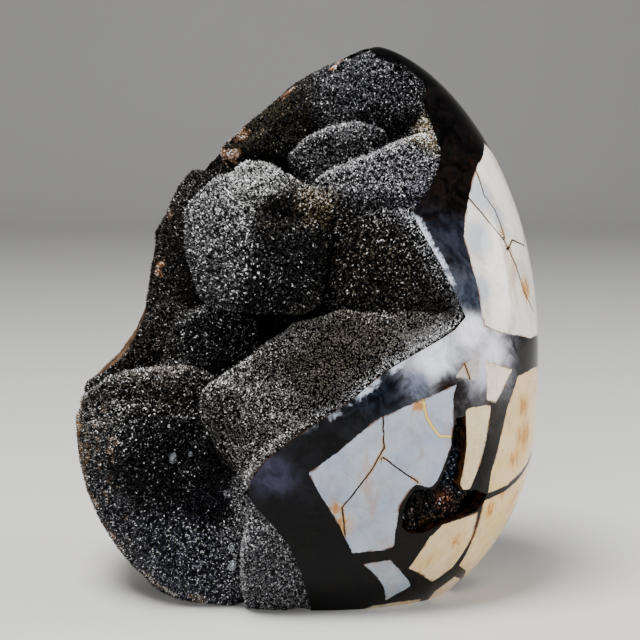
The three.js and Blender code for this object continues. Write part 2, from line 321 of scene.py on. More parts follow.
# the mesh of the ground surface: rows from the middle of the base to the top, finer where the front shows
def groundMesh():
    fineStep = stone["fineStep"] / stone["meshRadius"]
    coarseStep = stone["coarseStep"] / stone["meshRadius"]
    fineFrom, fineTo = math.radians(stone["fineFrom"]), math.radians(stone["fineTo"])
    fine = np.linspace(fineFrom, fineTo, int((fineTo - fineFrom) / fineStep))
    rest = 2 * math.pi - (fineTo - fineFrom)
    coarse = fineTo + np.linspace(0, rest, int(rest / coarseStep))[1:-1]
    turns = np.concatenate([fine, coarse])
    trial = np.linspace(float(uAt(np.array(0.0))), 0.9985, 4000)
    side = groundPoints(np.full_like(trial, math.pi / 2), trial)
    run = np.concatenate([[0], np.cumsum(np.linalg.norm(np.diff(side, axis=0), axis=1))])
    us = np.interp(np.linspace(0, run[-1], int(run[-1] / stone["rowStep"])), run, trial)
    grid = groundPoints(*np.meshgrid(turns, us))
    rim = grid[0]
    middle = np.array([rim[:, 0].mean(), 0, 0])
    baseRings = np.array([middle + (rim - middle) * share for share in np.linspace(0.04, 1, 40)[:-1]])
    grid = np.concatenate([baseRings, grid])
    rows, columns = grid.shape[:2]
    grid = withRind(grid.reshape(-1, 3)).reshape(rows, columns, 3)
    top = groundPoints(np.array([0.0]), np.array([1.0]))
    points = np.concatenate([grid.reshape(-1, 3), middle[None], top])
    row = np.arange(rows - 1)[:, None] * columns
    column = np.arange(columns)[None]
    after = (column + 1) % columns
    quads = [row + column, row + after, row + columns + after, row + columns + column]
    form = bmesh.new()
    verts = [form.verts.new(p * mm) for p in points]
    for quad in np.stack(quads, -1).reshape(-1, 4):
        form.faces.new([verts[i] for i in quad])
    last = (rows - 1) * columns
    for i in range(columns):
        k = (i + 1) % columns
        form.faces.new([verts[k], verts[i], verts[rows * columns]])
        form.faces.new([verts[last + i], verts[last + k], verts[rows * columns + 1]])
    bmesh.ops.recalc_face_normals(form, faces=form.faces)
    return meshFrom(form, "ground")


# the rind: points move out to the bulge, or in to the hollow, along their own radius
def withRind(points):
    bulge = hullTree(rind["bulge"])
    hollow = hullTree(rind["hollow"])
    leftOf, above, below = rind["within"]
    moved = points.copy()
    for i, point in enumerate(points):
        if point[0] > leftOf or point[2] < above or point[2] > below:
            continue
        axis = Vector((float(axisAt(uAt(point[2]))), 0, point[2]))
        out = Vector(point) - axis
        reach = out.length
        out.normalize()
        new = reach
        hit = bulge.ray_cast(axis + out * (reach + 40), -out, 40)
        if hit[0] is not None:
            new = max(new, (hit[0] - axis).length)
        hit = hollow.ray_cast(axis, out, reach)
        if hit[0] is not None:
            new = (hit[0] - axis).length
        if abs(new - reach) > 0.01:
            spot = axis + out * new
            new += rind["roughness"] * min(1, abs(new - reach)) * noise.noise(spot / rind["grain"])
            moved[i] = axis + out * new
    return moved


# a solid from an outline, whose points two functions place at its near and its far end
def prism(name, outline, near, far):
    count = len(outline)
    form = bmesh.new()
    front = [form.verts.new(Vector(near(p)) * mm) for p in outline]
    back = [form.verts.new(Vector(far(p)) * mm) for p in outline]
    form.faces.new(front)
    form.faces.new(back[::-1])
    for i in range(count):
        k = (i + 1) % count
        form.faces.new([front[i], back[i], back[k], front[k]])
    bmesh.ops.recalc_face_normals(form, faces=form.faces)
    return newObject(name, meshFrom(form, name))


def cutAway(mesh, cutter):
    mesh = modified(mesh, "BOOLEAN", operation="DIFFERENCE", solver="EXACT", object=cutter)
    bpy.data.objects.remove(cutter)
    return mesh


# Panels of limestone between the veins: outlines as degrees round the stone and height in mm, and each one's
# tint
panels = {
    "blueGrey": {"tint": "#919db0", "outline": [
        [1.2, 47], [7.8, 53.3], [15.9, 62.5], [19, 64.2], [22.8, 66.3], [29.2, 69.2], [35, 71.9],
        [34.2, 68.2], [34.7, 60.7], [34.5, 53.8], [33.1, 48.8], [31.4, 43.2], [29.8, 41.2], [25.9, 42.8],
        [24, 39.2], [22.6, 36.1], [22.7, 27.4], [23.2, 23.1], [20.7, 21.9], [12.5, 21.3], [8.3, 31.4],
        [3.6, 40.9]]},
    "creamStrip": {"tint": "#d6bf92", "outline": [
        [38.1, 63.3], [38.6, 64.5], [45.8, 64.5], [45.4, 57], [44, 49.9], [42.4, 43.6], [41.2, 39.4],
        [37.9, 39.6], [38.1, 47.6], [38.6, 55.8]]},
    "rightCream": {"tint": "#cfb078", "outline": [
        [56.7, 71.8], [68, 72.8], [86, 71], [92, 60], [86, 48.6], [74, 45], [67.3, 42.2], [61, 39.8],
        [56.1, 38], [48, 37], [47.6, 43.7], [49.6, 51.8], [52.5, 63.3]]},
    "lowerRight": {"tint": "#c7a86f", "outline": [
        [46.9, 34.6], [54.8, 35.9], [61, 37.8], [67, 40.2], [75, 43.2], [88, 47], [86, 22], [80, 8],
        [66, 3], [58.1, 8.8], [49.5, 12.4]]},
    "lowerCentre": {"tint": "#c6a974", "outline": [
        [46.1, 31.2], [35.4, 28.7], [32.6, 25.1], [29.7, 14.8], [41.5, 8.1], [46.5, 12.6], [47.6, 22.7]]},
    "lowerTip": {"tint": "#bfa884", "outline": [[47.5, 3.3], [52, 8], [60, 5.8], [68, -1], [50, -1]]},
    "lowerLeft": {"tint": "#7f8b98", "outline": [
        [15.9, 17.4], [23.1, 18.3], [33.7, 7.8], [27.7, 3.1], [23.9, 8.9], [20.4, 13.2]]},
    "footSliver": {"tint": "#b3a27f", "outline": [[20, -1], [24, 1.2], [35, 1.7], [44, 1.3], [45, -1]]},
    "upperRight": {"tint": "#dbd6ca", "outline": [
        [62.7, 139.3], [52.9, 135.8], [46.3, 131.5], [42.5, 126], [39.4, 120.8], [37.9, 114.7], [39.2, 107.9],
        [41.2, 99.6], [42.1, 92.2], [42.7, 88.4], [48.4, 85.8], [55.1, 84.5], [64.9, 82.4], [78, 82],
        [92, 90], [98, 108], [92, 126], [80, 138], [70, 142]]},
    "smallCream": {"tint": "#ddd2b8", "outline": [[43.4, 78.2], [53.6, 74.1], [47.3, 64.8], [44.3, 66.5]]},
    "smallGrey": {"tint": "#9f9b9b", "outline": [[41.4, 81.1], [36.4, 77.7], [34.4, 73.8], [41.1, 72.5]]},
}

# thin dark cracks across the panels
cracks = [
    [[17.5, 64], [18.2, 54.2], [15.5, 47.7], [9, 36.1], [10.2, 27.4]],
    [[18.2, 51.2], [22, 47.3], [26.6, 43.3]],
    [[26.4, 68.5], [27.9, 62.5], [29.6, 59.4], [31.5, 56.8], [35.5, 56.2]],
    [[41.5, 127], [48.4, 119.3], [55.3, 112.4], [59.4, 104.9], [62.6, 96.7], [70, 90]],
    [[50.1, 135], [50.1, 126.6], [53.9, 122], [55.8, 113.5]],
    [[55.6, 110], [60.2, 112.7], [71.2, 110.2], [84, 116]],
    [[36.4, 79], [39.2, 71.5]],
]

goldenCrack = 2              # the one that is filled with golden calcite


# what the chalcedony between the panels turns to along its way: x, y, z and reach in mm, its tint, and how
# marbled. The tints are the stone's own, except one that is a painted highlight
chalcedony = [
    [30, -5, 168, 10, "#070708", 1],
    [48, -22, 150, 10, "#0b0909", 1],
    [45, -34, 128, 7, "#130e0b", 1],
    [44, -38, 113, 6, "#292c37", 0.9],
    [49, -42, 97, 6, "#3b424f", 0.8],
    [49, -44, 88, 5, "#eeeef6", 0.2],
    [56, -40, 80, 4, "#dcdbe8", 0.15],
    [52, -43, 75, 3, "#c3c2d0", 0.2],
    [38, -51, 80, 5, "#e6e8f4", 0.25],
    [33, -53, 73, 3, "#6e7688", 0.6],
    [21, -56, 69, 6, "#1d222b", 1],
    [2, -58, 55, 6, "#0b0c10", 1],
    # a painted highlight: soft lavender-grey where the black chalcedony curves round at the band's lower left
    [-9, -58, 46, 4, "#37354a", 0.7],
    [-8, -55, 34, 5, "#050506", 1],
    [2, -50, 20, 9, "#020202", 1],
    [42, -50, 70, 4, "#1c110b", 1],
    [46, -47, 50, 3, "#0a0706", 1],
    [58, -38, 72, 3, "#6e6a72", 0.4],
    [56, -40, 62, 3.5, "#2a201b", 0.9],
    [54, -41, 50, 3.5, "#120d0a", 1],
    [66, -25, 76, 6, "#060606", 1],
    [40, -45, 22, 6, "#050404", 1],
    [0, 58, 80, 60, "#0e0b0a", 1],
    [70, 20, 90, 30, "#15100d", 1],
]

# where iron has stained the limestone: x, y, z and reach in mm
stains = [
    [11, -54, 31, 5], [9, -56, 36, 3], [66, -29, 62, 7], [67, -27, 52, 9], [64, -32, 46, 6], [57, -37, 31, 5],
    [33, -53, 66, 3], [60, -34, 36, 4], [47, -42, 22, 5], [68, -24, 98, 6], [66, -24, 30, 6],
]

# where the limestone is bluish grey, as above
bluish = [[53, -29, 127, 9], [52, -36, 114, 9], [52, -40, 99, 7], [58, -27, 120, 6]]

# the frosted border at the vug's ground edge: the heights where it starts, is whole, fades and is gone, on
# the stone and on the crust, how far it reaches over the crust, and its colour there
frost = {"onStone": [58, 66, 118, 125], "onCrust": [60, 66, 120, 126], "reach": 1.6, "tint": "#b4bac4"}

back = {
    "spacing": 34,           # mm, between the middles of the panels that the back has
    "wobble": [11, 1.3],     # size and amount of their edges' waves, mm
    "tints": ["#c6b490", "#a0957f", "#9298a0", "#b99c6a", "#ada391", "#c9ba99"],
    "thinVein": 1.0,         # mm, half its width
    "thickVein": 4.2,
    "rimBand": 8,            # mm of chalcedony between the vug's back edge and the panels
    "bandTo": 60,            # degrees round the stone
    "from": [-62, 82],       # degrees: the back's panels start past these
    "perDegree": 1.1,        # mm
    "fromFront": 2.6,        # mm, that they keep off the front's panels
}

# where the stone isn't polished
unpolished = {
    "wallLevel": 0.993,      # of the ground surface's size: what is under this is a wall of a cut
    "wallDepth": 4,          # mm behind the vug's floor
    "rightOf": 12,           # mm: the open vein's walls
    "rimLeftOf": -15,        # mm: the rim of rind, left of this or above and behind the next two
    "rimAbove": 100,
    "rimBehind": -4,
    "rindOff": [0.6, 1.5],   # mm off the ground surface where rind starts and is whole
    "radius": 60,
}

farAway = 99                 # mm


def linesOnGround(lines, closed, step=0.25, perDegree=1.15):
    samples, tangents, owners = [], [], []
    for owner, line in enumerate(lines):
        ends = line + [line[0]] if closed else line
        for (turnA, zA), (turnB, zB) in zip(ends, ends[1:]):
            a, b = np.array([turnA, zA], float), np.array([turnB, zB], float)
            count = max(2, int(np.hypot((b[0] - a[0]) * perDegree, b[1] - a[1]) / step))
            chart = a + (b - a) * (np.arange(count + 1) / count)[:, None]
            on = groundPoints(np.radians(chart[:, 0]), uAt(chart[:, 1]))
            samples.append(on[:-1])
            tangents.append(np.diff(on, axis=0))
            owners.append(np.full(count, owner))
    return np.concatenate(samples), np.concatenate(tangents), np.concatenate(owners)


def nearest(points, samples):
    tree = kdtree.KDTree(len(samples))
    for i, sample in enumerate(samples):
        tree.insert(Vector(sample), i)
    tree.balance()
    found = [tree.find(Vector(p)) for p in points]
    return np.array([f[2] for f in found]), np.array([f[1] for f in found])


def isInOutline(turns, heights, outline):
    inside = np.zeros(len(turns), bool)
    for (x0, z0), (x1, z1) in zip(outline, outline[1:] + outline[:1]):
        if z0 == z1:
            continue
        crosses = (z0 > heights) != (z1 > heights)
        at = x0 + (heights - z0) * (x1 - x0) / (z1 - z0)
        inside ^= crosses & (turns < at)
    return inside


# distance in mm to the edge of the nearest panel on the back, and its number
def backPanels(points, rng):
    seeds = []
    for _ in range(4000):
        turn, u = rng.uniform(-math.pi, math.pi), rng.uniform(-0.72, 0.97)
        spot = groundPoints(np.array([turn]), np.array([u]))[0]
        if all(np.linalg.norm(spot - s) > back["spacing"] * rng.uniform(0.75, 1.15) for s in seeds):
            seeds.append(spot)
    seeds = np.array(seeds)
    size, amount = back["wobble"]
    at = points + np.stack([noiseAt(points, size, seed) for seed in (1, 2, 3)], axis=1) * amount
    apart = np.linalg.norm(at[:, None] - seeds[None], axis=2)
    order = np.argsort(apart, axis=1)
    own = order[:, 0]
    field = np.full(len(points), 1e3)
    for rank in range(1, 6):
        other = order[:, rank]
        between = np.linalg.norm(seeds[own] - seeds[other], axis=1)
        mine = np.take_along_axis(apart, own[:, None], 1)[:, 0]
        theirs = np.take_along_axis(apart, other[:, None], 1)[:, 0]
        gap = (theirs ** 2 - mine ** 2) / (2 * between)
        pick = np.minimum(own, other) * 31 + np.maximum(own, other) * 17
        width = back["thinVein"] + (back["thickVein"] - back["thinVein"]) * ((pick * 0.618) % 1) ** 2
        field = np.minimum(field, gap - width)
    return field, own


# how frosted each height is
def frostAt(heights, limits):
    start, whole, fading, gone = limits
    return smoothStep(start, whole, heights) * (1 - smoothStep(fading, gone, heights))


# the distance to the edge of the nearest panel in mm, positive inside it, with all tints
def markPanels(mesh, points, pastRim, rng):
    turns = np.degrees(turnsOf(points))
    outlines = [panel["outline"] for panel in panels.values()]
    tints = np.array([linear(panel["tint"]) for panel in panels.values()])
    samples, _, owners = linesOnGround(outlines, closed=True)
    apart, which = nearest(points, samples)
    inside = np.zeros(len(points), bool)
    for outline in outlines:
        inside |= isInOutline(turns, points[:, 2], outline)
    traced = np.where(inside, apart, -apart)
    behind, cell = backPanels(points, rng)
    startAt, endAt = back["from"]
    pastFront = np.where(turns > 0, turns - endAt, startAt - turns) * back["perDegree"]
    pastBand = np.where(turns < back["bandTo"], pastRim - back["rimBand"], farAway)
    behind = np.minimum.reduce([behind, -traced - back["fromFront"], pastFront, pastBand])
    putValues(mesh, "panel", np.maximum(traced, behind))
    cellTints = np.array([linear(back["tints"][i % len(back["tints"])]) for i in range(cell.max() + 1)])
    isBehind = (behind > traced)[:, None]
    putValues(mesh, "panelTint", np.where(isBehind, cellTints[cell], tints[owners[which]]))
    putValues(mesh, "behind", isBehind[:, 0])
    putValues(mesh, "veinTint", blendTints(points, chalcedony))
    putValues(mesh, "marbling", sharesOf(points, chalcedony) @ [place[5] for place in chalcedony])
    for name, spots in (("stain", stains), ("bluish", bluish)):
        share = [1 - np.linalg.norm(points - spot[:3], axis=1) / spot[3] for spot in spots]
        putValues(mesh, name, np.maximum(np.max(share, axis=0), 0))


# the distance to the nearest crack, its sign by the side, and whether that crack is the golden one
def markCracks(mesh, points):
    samples, tangents, owners = linesOnGround(cracks, closed=False)
    apart, which = nearest(points, samples)
    across = np.cross(tangents[which], points - samples[which])
    side = np.einsum("ij,ij->i", across, valuesOf(mesh.vertices, "normal"))
    putValues(mesh, "crackSide", np.where(side > 0, apart, -apart))
    putValues(mesh, "crackNear", apart)
    putValues(mesh, "golden", owners[which] == goldenCrack)


def isWall(points, pastRim):
    inCut = levelOf(points) < unpolished["wallLevel"]
    nearVug = (pastRim < unpolished["wallDepth"]) | (points[:, 0] > unpolished["rightOf"])
    return inCut & (points[:, 2] > 0.05) & nearVug


# the frosted border, the rim, the walls of the cuts and the rind
def markEdges(mesh, points, pastRim):
    putValues(mesh, "fromVug", nearest(points, edgeLine())[0])
    putValues(mesh, "frost", frostAt(points[:, 2], frost["onStone"]))
    isHigh = (points[:, 2] > unpolished["rimAbove"]) & (points[:, 1] > unpolished["rimBehind"])
    onRim = (points[:, 0] < unpolished["rimLeftOf"]) | isHigh
    putValues(mesh, "fromRim", np.where(onRim, np.abs(pastRim), farAway))
    middles = valuesOf(mesh.polygons, "center") / mm
    putValues(mesh, "wall", isWall(middles, middles[:, 1] - floorOfVug(middles)), "FACE")
    isGround = (points[:, 2] < 0.05) | isWall(points, pastRim)
    off = np.where(isGround, 0, np.abs(levelOf(points) - 1) * unpolished["radius"])
    putValues(mesh, "rind", smoothStep(*unpolished["rindOff"], off))


# what the stone's mesh says of each place
marks = ["panel", "behind", "stain", "bluish", "crackSide", "crackNear", "golden", "marbling", "fromVug",
         "frost", "wall", "fromRim", "rind"]

# patterns of noise: size in mm, detail, roughness and distortion, then from which value to which it fades in,
# and what it is at both ends. Those from 0 to 1 are straight. Rind has pits of 0.1 to 0.3 mm, which are too
# fine to show, so they are drawn at 0.9 mm.
grains = {
    "wave": [2.2, 3, 0.55, 0, 0, 1, -0.45, 0.45],
    "cloud": [9, 5, 0.55, 0, 0.3, 0.72, 0, 0.22],
    "speckle": [2.1, 4, 0.55, 0, 0.5, 0.75, 0, 0.25],
    "shade": [14, 5, 0.6, 1.2, 0.5, 0.72, 0, 0.4],
    "ochre": [8, 6, 0.68, 0.8, 0.5, 0.74, 0, 0.56],
    "streak": [2.6, 8, 0.78, 0.7, 0, 1, -2, 2],
    "halo": [8, 3, 0.55, 0, 0.42, 0.6, 0, 0.7],
    "swirl": [8, 5, 0.58, 2.2, 0.36, 0.64, 1, 0.16],
    "smoke": [3.2, 6, 0.62, 0, 0.35, 0.7, 0, 0.35],
    "wisp": [1.3, 4, 0.55, 0, 0.56, 0.74, 0, 0.3],
    "ruddy": [6, 5, 0.6, 1.5, 0.56, 0.72, 0, 0.5],
    "ragged": [0.9, 4, 0.55, 0, 0, 1, -2, 2],
    "frosted": [6, 3, 0.55, 0, 0.42, 0.6, 0, 0.85],
    "amber": [7, 3, 0.55, 0, 0.46, 0.6, 0, 0.75],
    "mottle": [2.5, 4, 0.55, 0, 0.4, 0.6, 0, 1],
    "rust": [6, 6, 0.66, 0, 0.38, 0.64, 0, 1],
    "cream": [4, 6, 0.66, 0, 0.58, 0.74, 0, 1],
    "broken": [5, 5, 0.6, 0, 0, 1, -0.7, 0.7],
    "polish": [5, 4, 0.55, 0, 0.4, 0.7, 0.03, 0.08],
    "pit": [0.9, 4, 0.55, 0, 0, 1, 0, 1],
}

upright = {"names": ["ochre", "streak"], "squeeze": 0.22}    # these patterns run up the stone
hairSpacing = 13             # mm, between the hairlines in the limestone

# what shows where, each row worked out from those above it: a sum, or a smooth fade between two values
steps = [
    ["edge", "ADD", "panel", "wave"],
    ["isPanel", "fade", "edge", -0.12, 0.12],
    # iron stains and hairlines in the limestone
    ["stained", "ADD", "stain", "streak"],
    ["stained", "fade", "stained", 0.4, 0.8, 0, 0.8],
    ["ochre", "MAXIMUM", "ochre", "stained"],
    ["gilded", "fade", "stain", 0, 0.7, 0, 0.45],
    ["blued", "fade", "bluish", 0.1, 0.7, 0, 0.75],
    ["hair", "MULTIPLY_ADD", "wave", 0.03, "hair"],
    ["hair", "fade", "hair", 0.012, 0],
    ["hairShown", "MULTIPLY_ADD", "behind", 0.4, 0.2],
    ["hair", "MULTIPLY", "hair", "hairShown"],
    # cracks: a dark line of 0.35 mm with an amber edge in places, and the golden one wider
    ["crack", "MULTIPLY_ADD", "wave", 0.8, "crackSide"],
    ["crack", "ABSOLUTE", "crack"],
    ["isNear", "fade", "crackNear", 1.6, 1.0],
    ["width", "MULTIPLY_ADD", "golden", 0.25, 0.3],
    ["line", "DIVIDE", "crack", "width"],
    ["line", "fade", "line", 1.15, 0.6],
    ["line", "MULTIPLY", "line", "isNear"],
    ["beside", "fade", "crack", 0.95, 0.3],
    ["beside", "MULTIPLY", "beside", "isNear"],
    ["halo", "MULTIPLY", "halo", "beside"],
    ["core", "fade", "crack", 0.5, 0.3],
    ["core", "MULTIPLY", "core", "golden"],
    # chalcedony, frosted beside the crystals
    ["smoke", "MULTIPLY", "smoke", "marbling"],
    ["ruddy", "MULTIPLY", "ruddy", "marbling"],
    ["nearVug", "MULTIPLY_ADD", "wave", 1.4, "fromVug"],
    ["nearVug", "ADD", "nearVug", "ragged"],
    ["nearVug", "fade", "nearVug", 2.2, 0.6],
    ["frosted", "MULTIPLY", "frosted", "nearVug"],
    ["frosted", "MULTIPLY", "frosted", "frost"],
    # the amber line of iron-stained calcite, 0.3 to 0.6 mm wide, on the panels' side
    ["border", "SUBTRACT", "edge", 0.12],
    ["border", "ABSOLUTE", "border"],
    ["border", "fade", "border", 0.42, 0.16],
    ["amber", "MULTIPLY", "amber", "border"],
    # rind, where the stone was never ground
    ["rim", "MULTIPLY_ADD", "wave", 4, "fromRim"],
    ["rim", "fade", "rim", 3.6, 1.4],
    ["broken", "ADD", "broken", "rind"],
    ["broken", "fade", "broken", 0.35, 0.6],
    ["isRind", "MAXIMUM", "broken", "rim"],
    # the limestone takes a touch less polish than the chalcedony
    ["polish", "MULTIPLY_ADD", "isPanel", 0.05, "polish"],
    ["height", "ADD", "isRind", 0.012],
    ["height", "MULTIPLY", "height", "pit"],
]

# colours over colours, in this order: on what, how much, which colour, and how they blend if not plainly. The
# face starts as chalcedony all over.
grounds = {"crackFill": "#2b211a", "brownCalcite": "#120c09", "rindEarth": "#2a1f17"}
coats = [
    ["limestone", "cloud", "#e6e1d6"],
    ["limestone", "speckle", "#8b8781"],
    ["limestone", "shade", "#7b8086"],
    ["limestone", "gilded", "#c99a4c"],
    ["limestone", "ochre", "#a66a1c"],
    ["limestone", "blued", "#98a0ae"],
    ["limestone", "hair", "#6b5d4a"],
    ["limestone", "halo", "#b5853f"],
    ["crackFill", "core", "#dcb968"],
    ["limestone", "line", "crackFill"],
    ["face", "marbling", "swirl", "MULTIPLY"],
    ["face", "smoke", "#050506"],
    ["face", "wisp", "veinTint", "ADD"],
    ["face", "ruddy", "#1f110a"],
    ["face", "frosted", "#c3ccda"],
    ["face", "isPanel", "limestone"],
    ["face", "amber", "#5e3818"],
    ["brownCalcite", "mottle", "#3c2413"],
    ["face", "wall", "brownCalcite"],
    ["rindEarth", "rust", "#664a31"],
    ["rindEarth", "cream", "#bfa985"],
    ["face", "isRind", "rindEarth"],
]


# Polished limestone and chalcedony, ground smooth and buffed: clear reflections over a depthless colour, with
# a thin amber line where each panel meets its vein. Rind and the walls of the cuts are as they grew.
def polishedSeptarian():
    material, tree, surface = newMaterial("polishedSeptarianStone")
    spot = addNode(tree, "TexCoord", output="Object")
    tall = addNode(tree, "Mapping", {"Vector": spot, "Scale": (1, 1, upright["squeeze"])})
    made = {name: addNode(tree, "Attribute", output="Fac", attribute_name=name) for name in marks}
    for name, (size, detail, roughness, distortion, *fade) in grains.items():
        inputs = {"Vector": tall if name in upright["names"] else spot, "Scale": 1 / (size * mm)}
        inputs |= {"Detail": detail, "Roughness": roughness, "Distortion": distortion}
        inputs = [addNode(tree, "TexNoise", inputs), *fade]
        kind = "LINEAR" if fade[0] == 0 else "SMOOTHSTEP"
        made[name] = addNode(tree, "MapRange", inputs, interpolation_type=kind)
    inputs = {"Vector": spot, "Scale": 1 / (hairSpacing * mm)}
    made["hair"] = addNode(tree, "TexVoronoi", inputs, feature="DISTANCE_TO_EDGE")
    for name, kind, *inputs in steps:
        inputs = [made[item] if isinstance(item, str) else item for item in inputs]
        if kind == "fade":
            made[name] = addNode(tree, "MapRange", inputs, interpolation_type="SMOOTHSTEP")
        else:
            made[name] = addNode(tree, "Math", inputs, operation=kind)
    made["limestone"] = addNode(tree, "Attribute", attribute_name="panelTint")
    made["veinTint"] = made["face"] = addNode(tree, "Attribute", attribute_name="veinTint")
    for name, tint in grounds.items():
        made[name] = linear(tint)
    for on, share, over, *blend in coats:
        inputs = {0: made[share], 6: made[on], 7: linear(over) if over[0] == "#" else made[over]}
        made[on] = addNode(tree, "Mix", inputs, 2, data_type="RGBA", blend_type=(blend or ["MIX"])[0])
    rough = addNode(tree, "Mix", {0: made["isRind"], 2: made["polish"], 3: 0.75})
    bump = addNode(tree, "Bump", {"Height": made["height"], "Distance": 0.9 * mm, "Strength": 1.0})
    setInputs(tree, surface, {"Base Color": made["face"], "Roughness": rough, "Normal": bump})
    setInputs(tree, surface, {"IOR": 1.56, "Specular IOR Level": 0.08})
    return material


# a point of the open vein's outline, this far out from the stone's axis in mm
def onVein(point, out):
    cos, sin = math.cos(openVein["turn"]), math.sin(openVein["turn"])
    return (point[0] * cos + out * sin + stone["middleX"], point[0] * sin - out * cos, point[1])


# the same, where the vein is as deep as it gets
def veinFloor(point):
    for out in np.arange(*openVein["searched"], -0.1):
        spot = onVein(point, out)
        if levelOf(np.array([spot]))[0] < 1 - stone["veinDepth"] / stone["veinRadius"]:
            break
    return spot


def makeStone():
    rng = np.random.default_rng(stone["seed"])
    middleX, front = stone["middleX"], -2 * stone["halfDepth"]
    mesh = groundMesh()
    mesh = cutAway(mesh, prism("vug", vugEdge + pastLeft, lambda p: (p[0] + middleX, front, p[1]),
                               lambda p: onFloor(p, stone["crust"])))
    mesh = cutAway(mesh, prism("vein", openVein["edge"], lambda p: onVein(p, openVein["cutFrom"]), veinFloor))
    mesh.shade_smooth()
    mesh.set_sharp_from_angle(angle=math.radians(stone["sharpFrom"]))
    points = pointsOf(mesh)
    pastRim = (points[:, 1] - floorOfVug(points)) / stone["floorSlant"]
    markPanels(mesh, points, pastRim, rng)
    markCracks(mesh, points)
    markEdges(mesh, points, pastRim)
    piece = newPiece("polishedStone", mesh, polishedSeptarian())
    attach(piece, "root")
    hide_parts("nodule")
    print("stone:", len(mesh.polygons), "faces")


druse = {
    "seed": 21,
    "voxel": 0.8,            # mm, of the crust's mesh
    "smoothing": 2,          # rounds
    "facesKept": 0.45,       # share of them, most are lost at the flat back
    "depth": 3.2,            # mm, that the mounds reach in behind the vug's floor
    "floorDepth": 9.2,       # and the form under them, before it is trimmed
    "pastEdge": 1.5,         # mm, that form past the vug's edge
    "edgeSmoothing": 3,      # rounds, after the crust has come up to the edge
    "foot": 0.1,             # mm, over the base
    "belowTop": 0.5,         # mm, under the stone's top
    "openTo": 1.5,           # mm behind the vug's floor, where crystals still grow
    "under": 0.996,          # of the ground surface's size, the crust stays in this
    "past": 1.014,           # and its crystals in this
    "bumps": [[15, 0.8], [6, 0.5], [2.6, 0.3]],    # size and height of the lumps on the mounds, mm
    "darkness": 0.04,        # of the crust between the crystals, as a share of their own tone
    "crystals": 195000,
    "half": [0.22, 0.44],    # mm, half the crystals' width
    "steepness": [1.2, 2.4], # their height in half widths
    "tilt": 0.8,             # how far the crystals lean off the mound's own direction
    "paintedLightOnTops": 1.1,          # painted light: how much paler the crystals of a top are than those of an underside
    "paintedLightFromLeft": 0.3,          # painted light from the left: how far they are paler on their left, too
    "evenAt": 0.3,           # the slope whose crystals get neither painted light nor painted shade
    "spread": [0.6, 0.8],    # of the tones, from crystal to crystal and from face to face; the pale strays are painted glints
    "greyFrom": [0.04, 0.5], # pale faces, the painted glints, lose their tint between these
    "brightest": 0.8,
    "frost": 0.8,            # whiteness beside the polished edge
    "perPiece": 60000,       # crystals in one joined mesh
}

# brown earth on the crystals that face left, at the crust's left rim
earth = {"tint": "#66503a", "facing": [0.82, 1.05], "leftOf": -50, "under": 64, "share": 0.85, "calm": 0.55}

# how the crust comes up to the ground surface at the vug's edge: mm under it there, mm deeper for each mm off
# the edge, how far off, and how much a face must look forward
lip = {"under": 1.1, "slope": 1.2, "width": 14, "facing": -0.15}

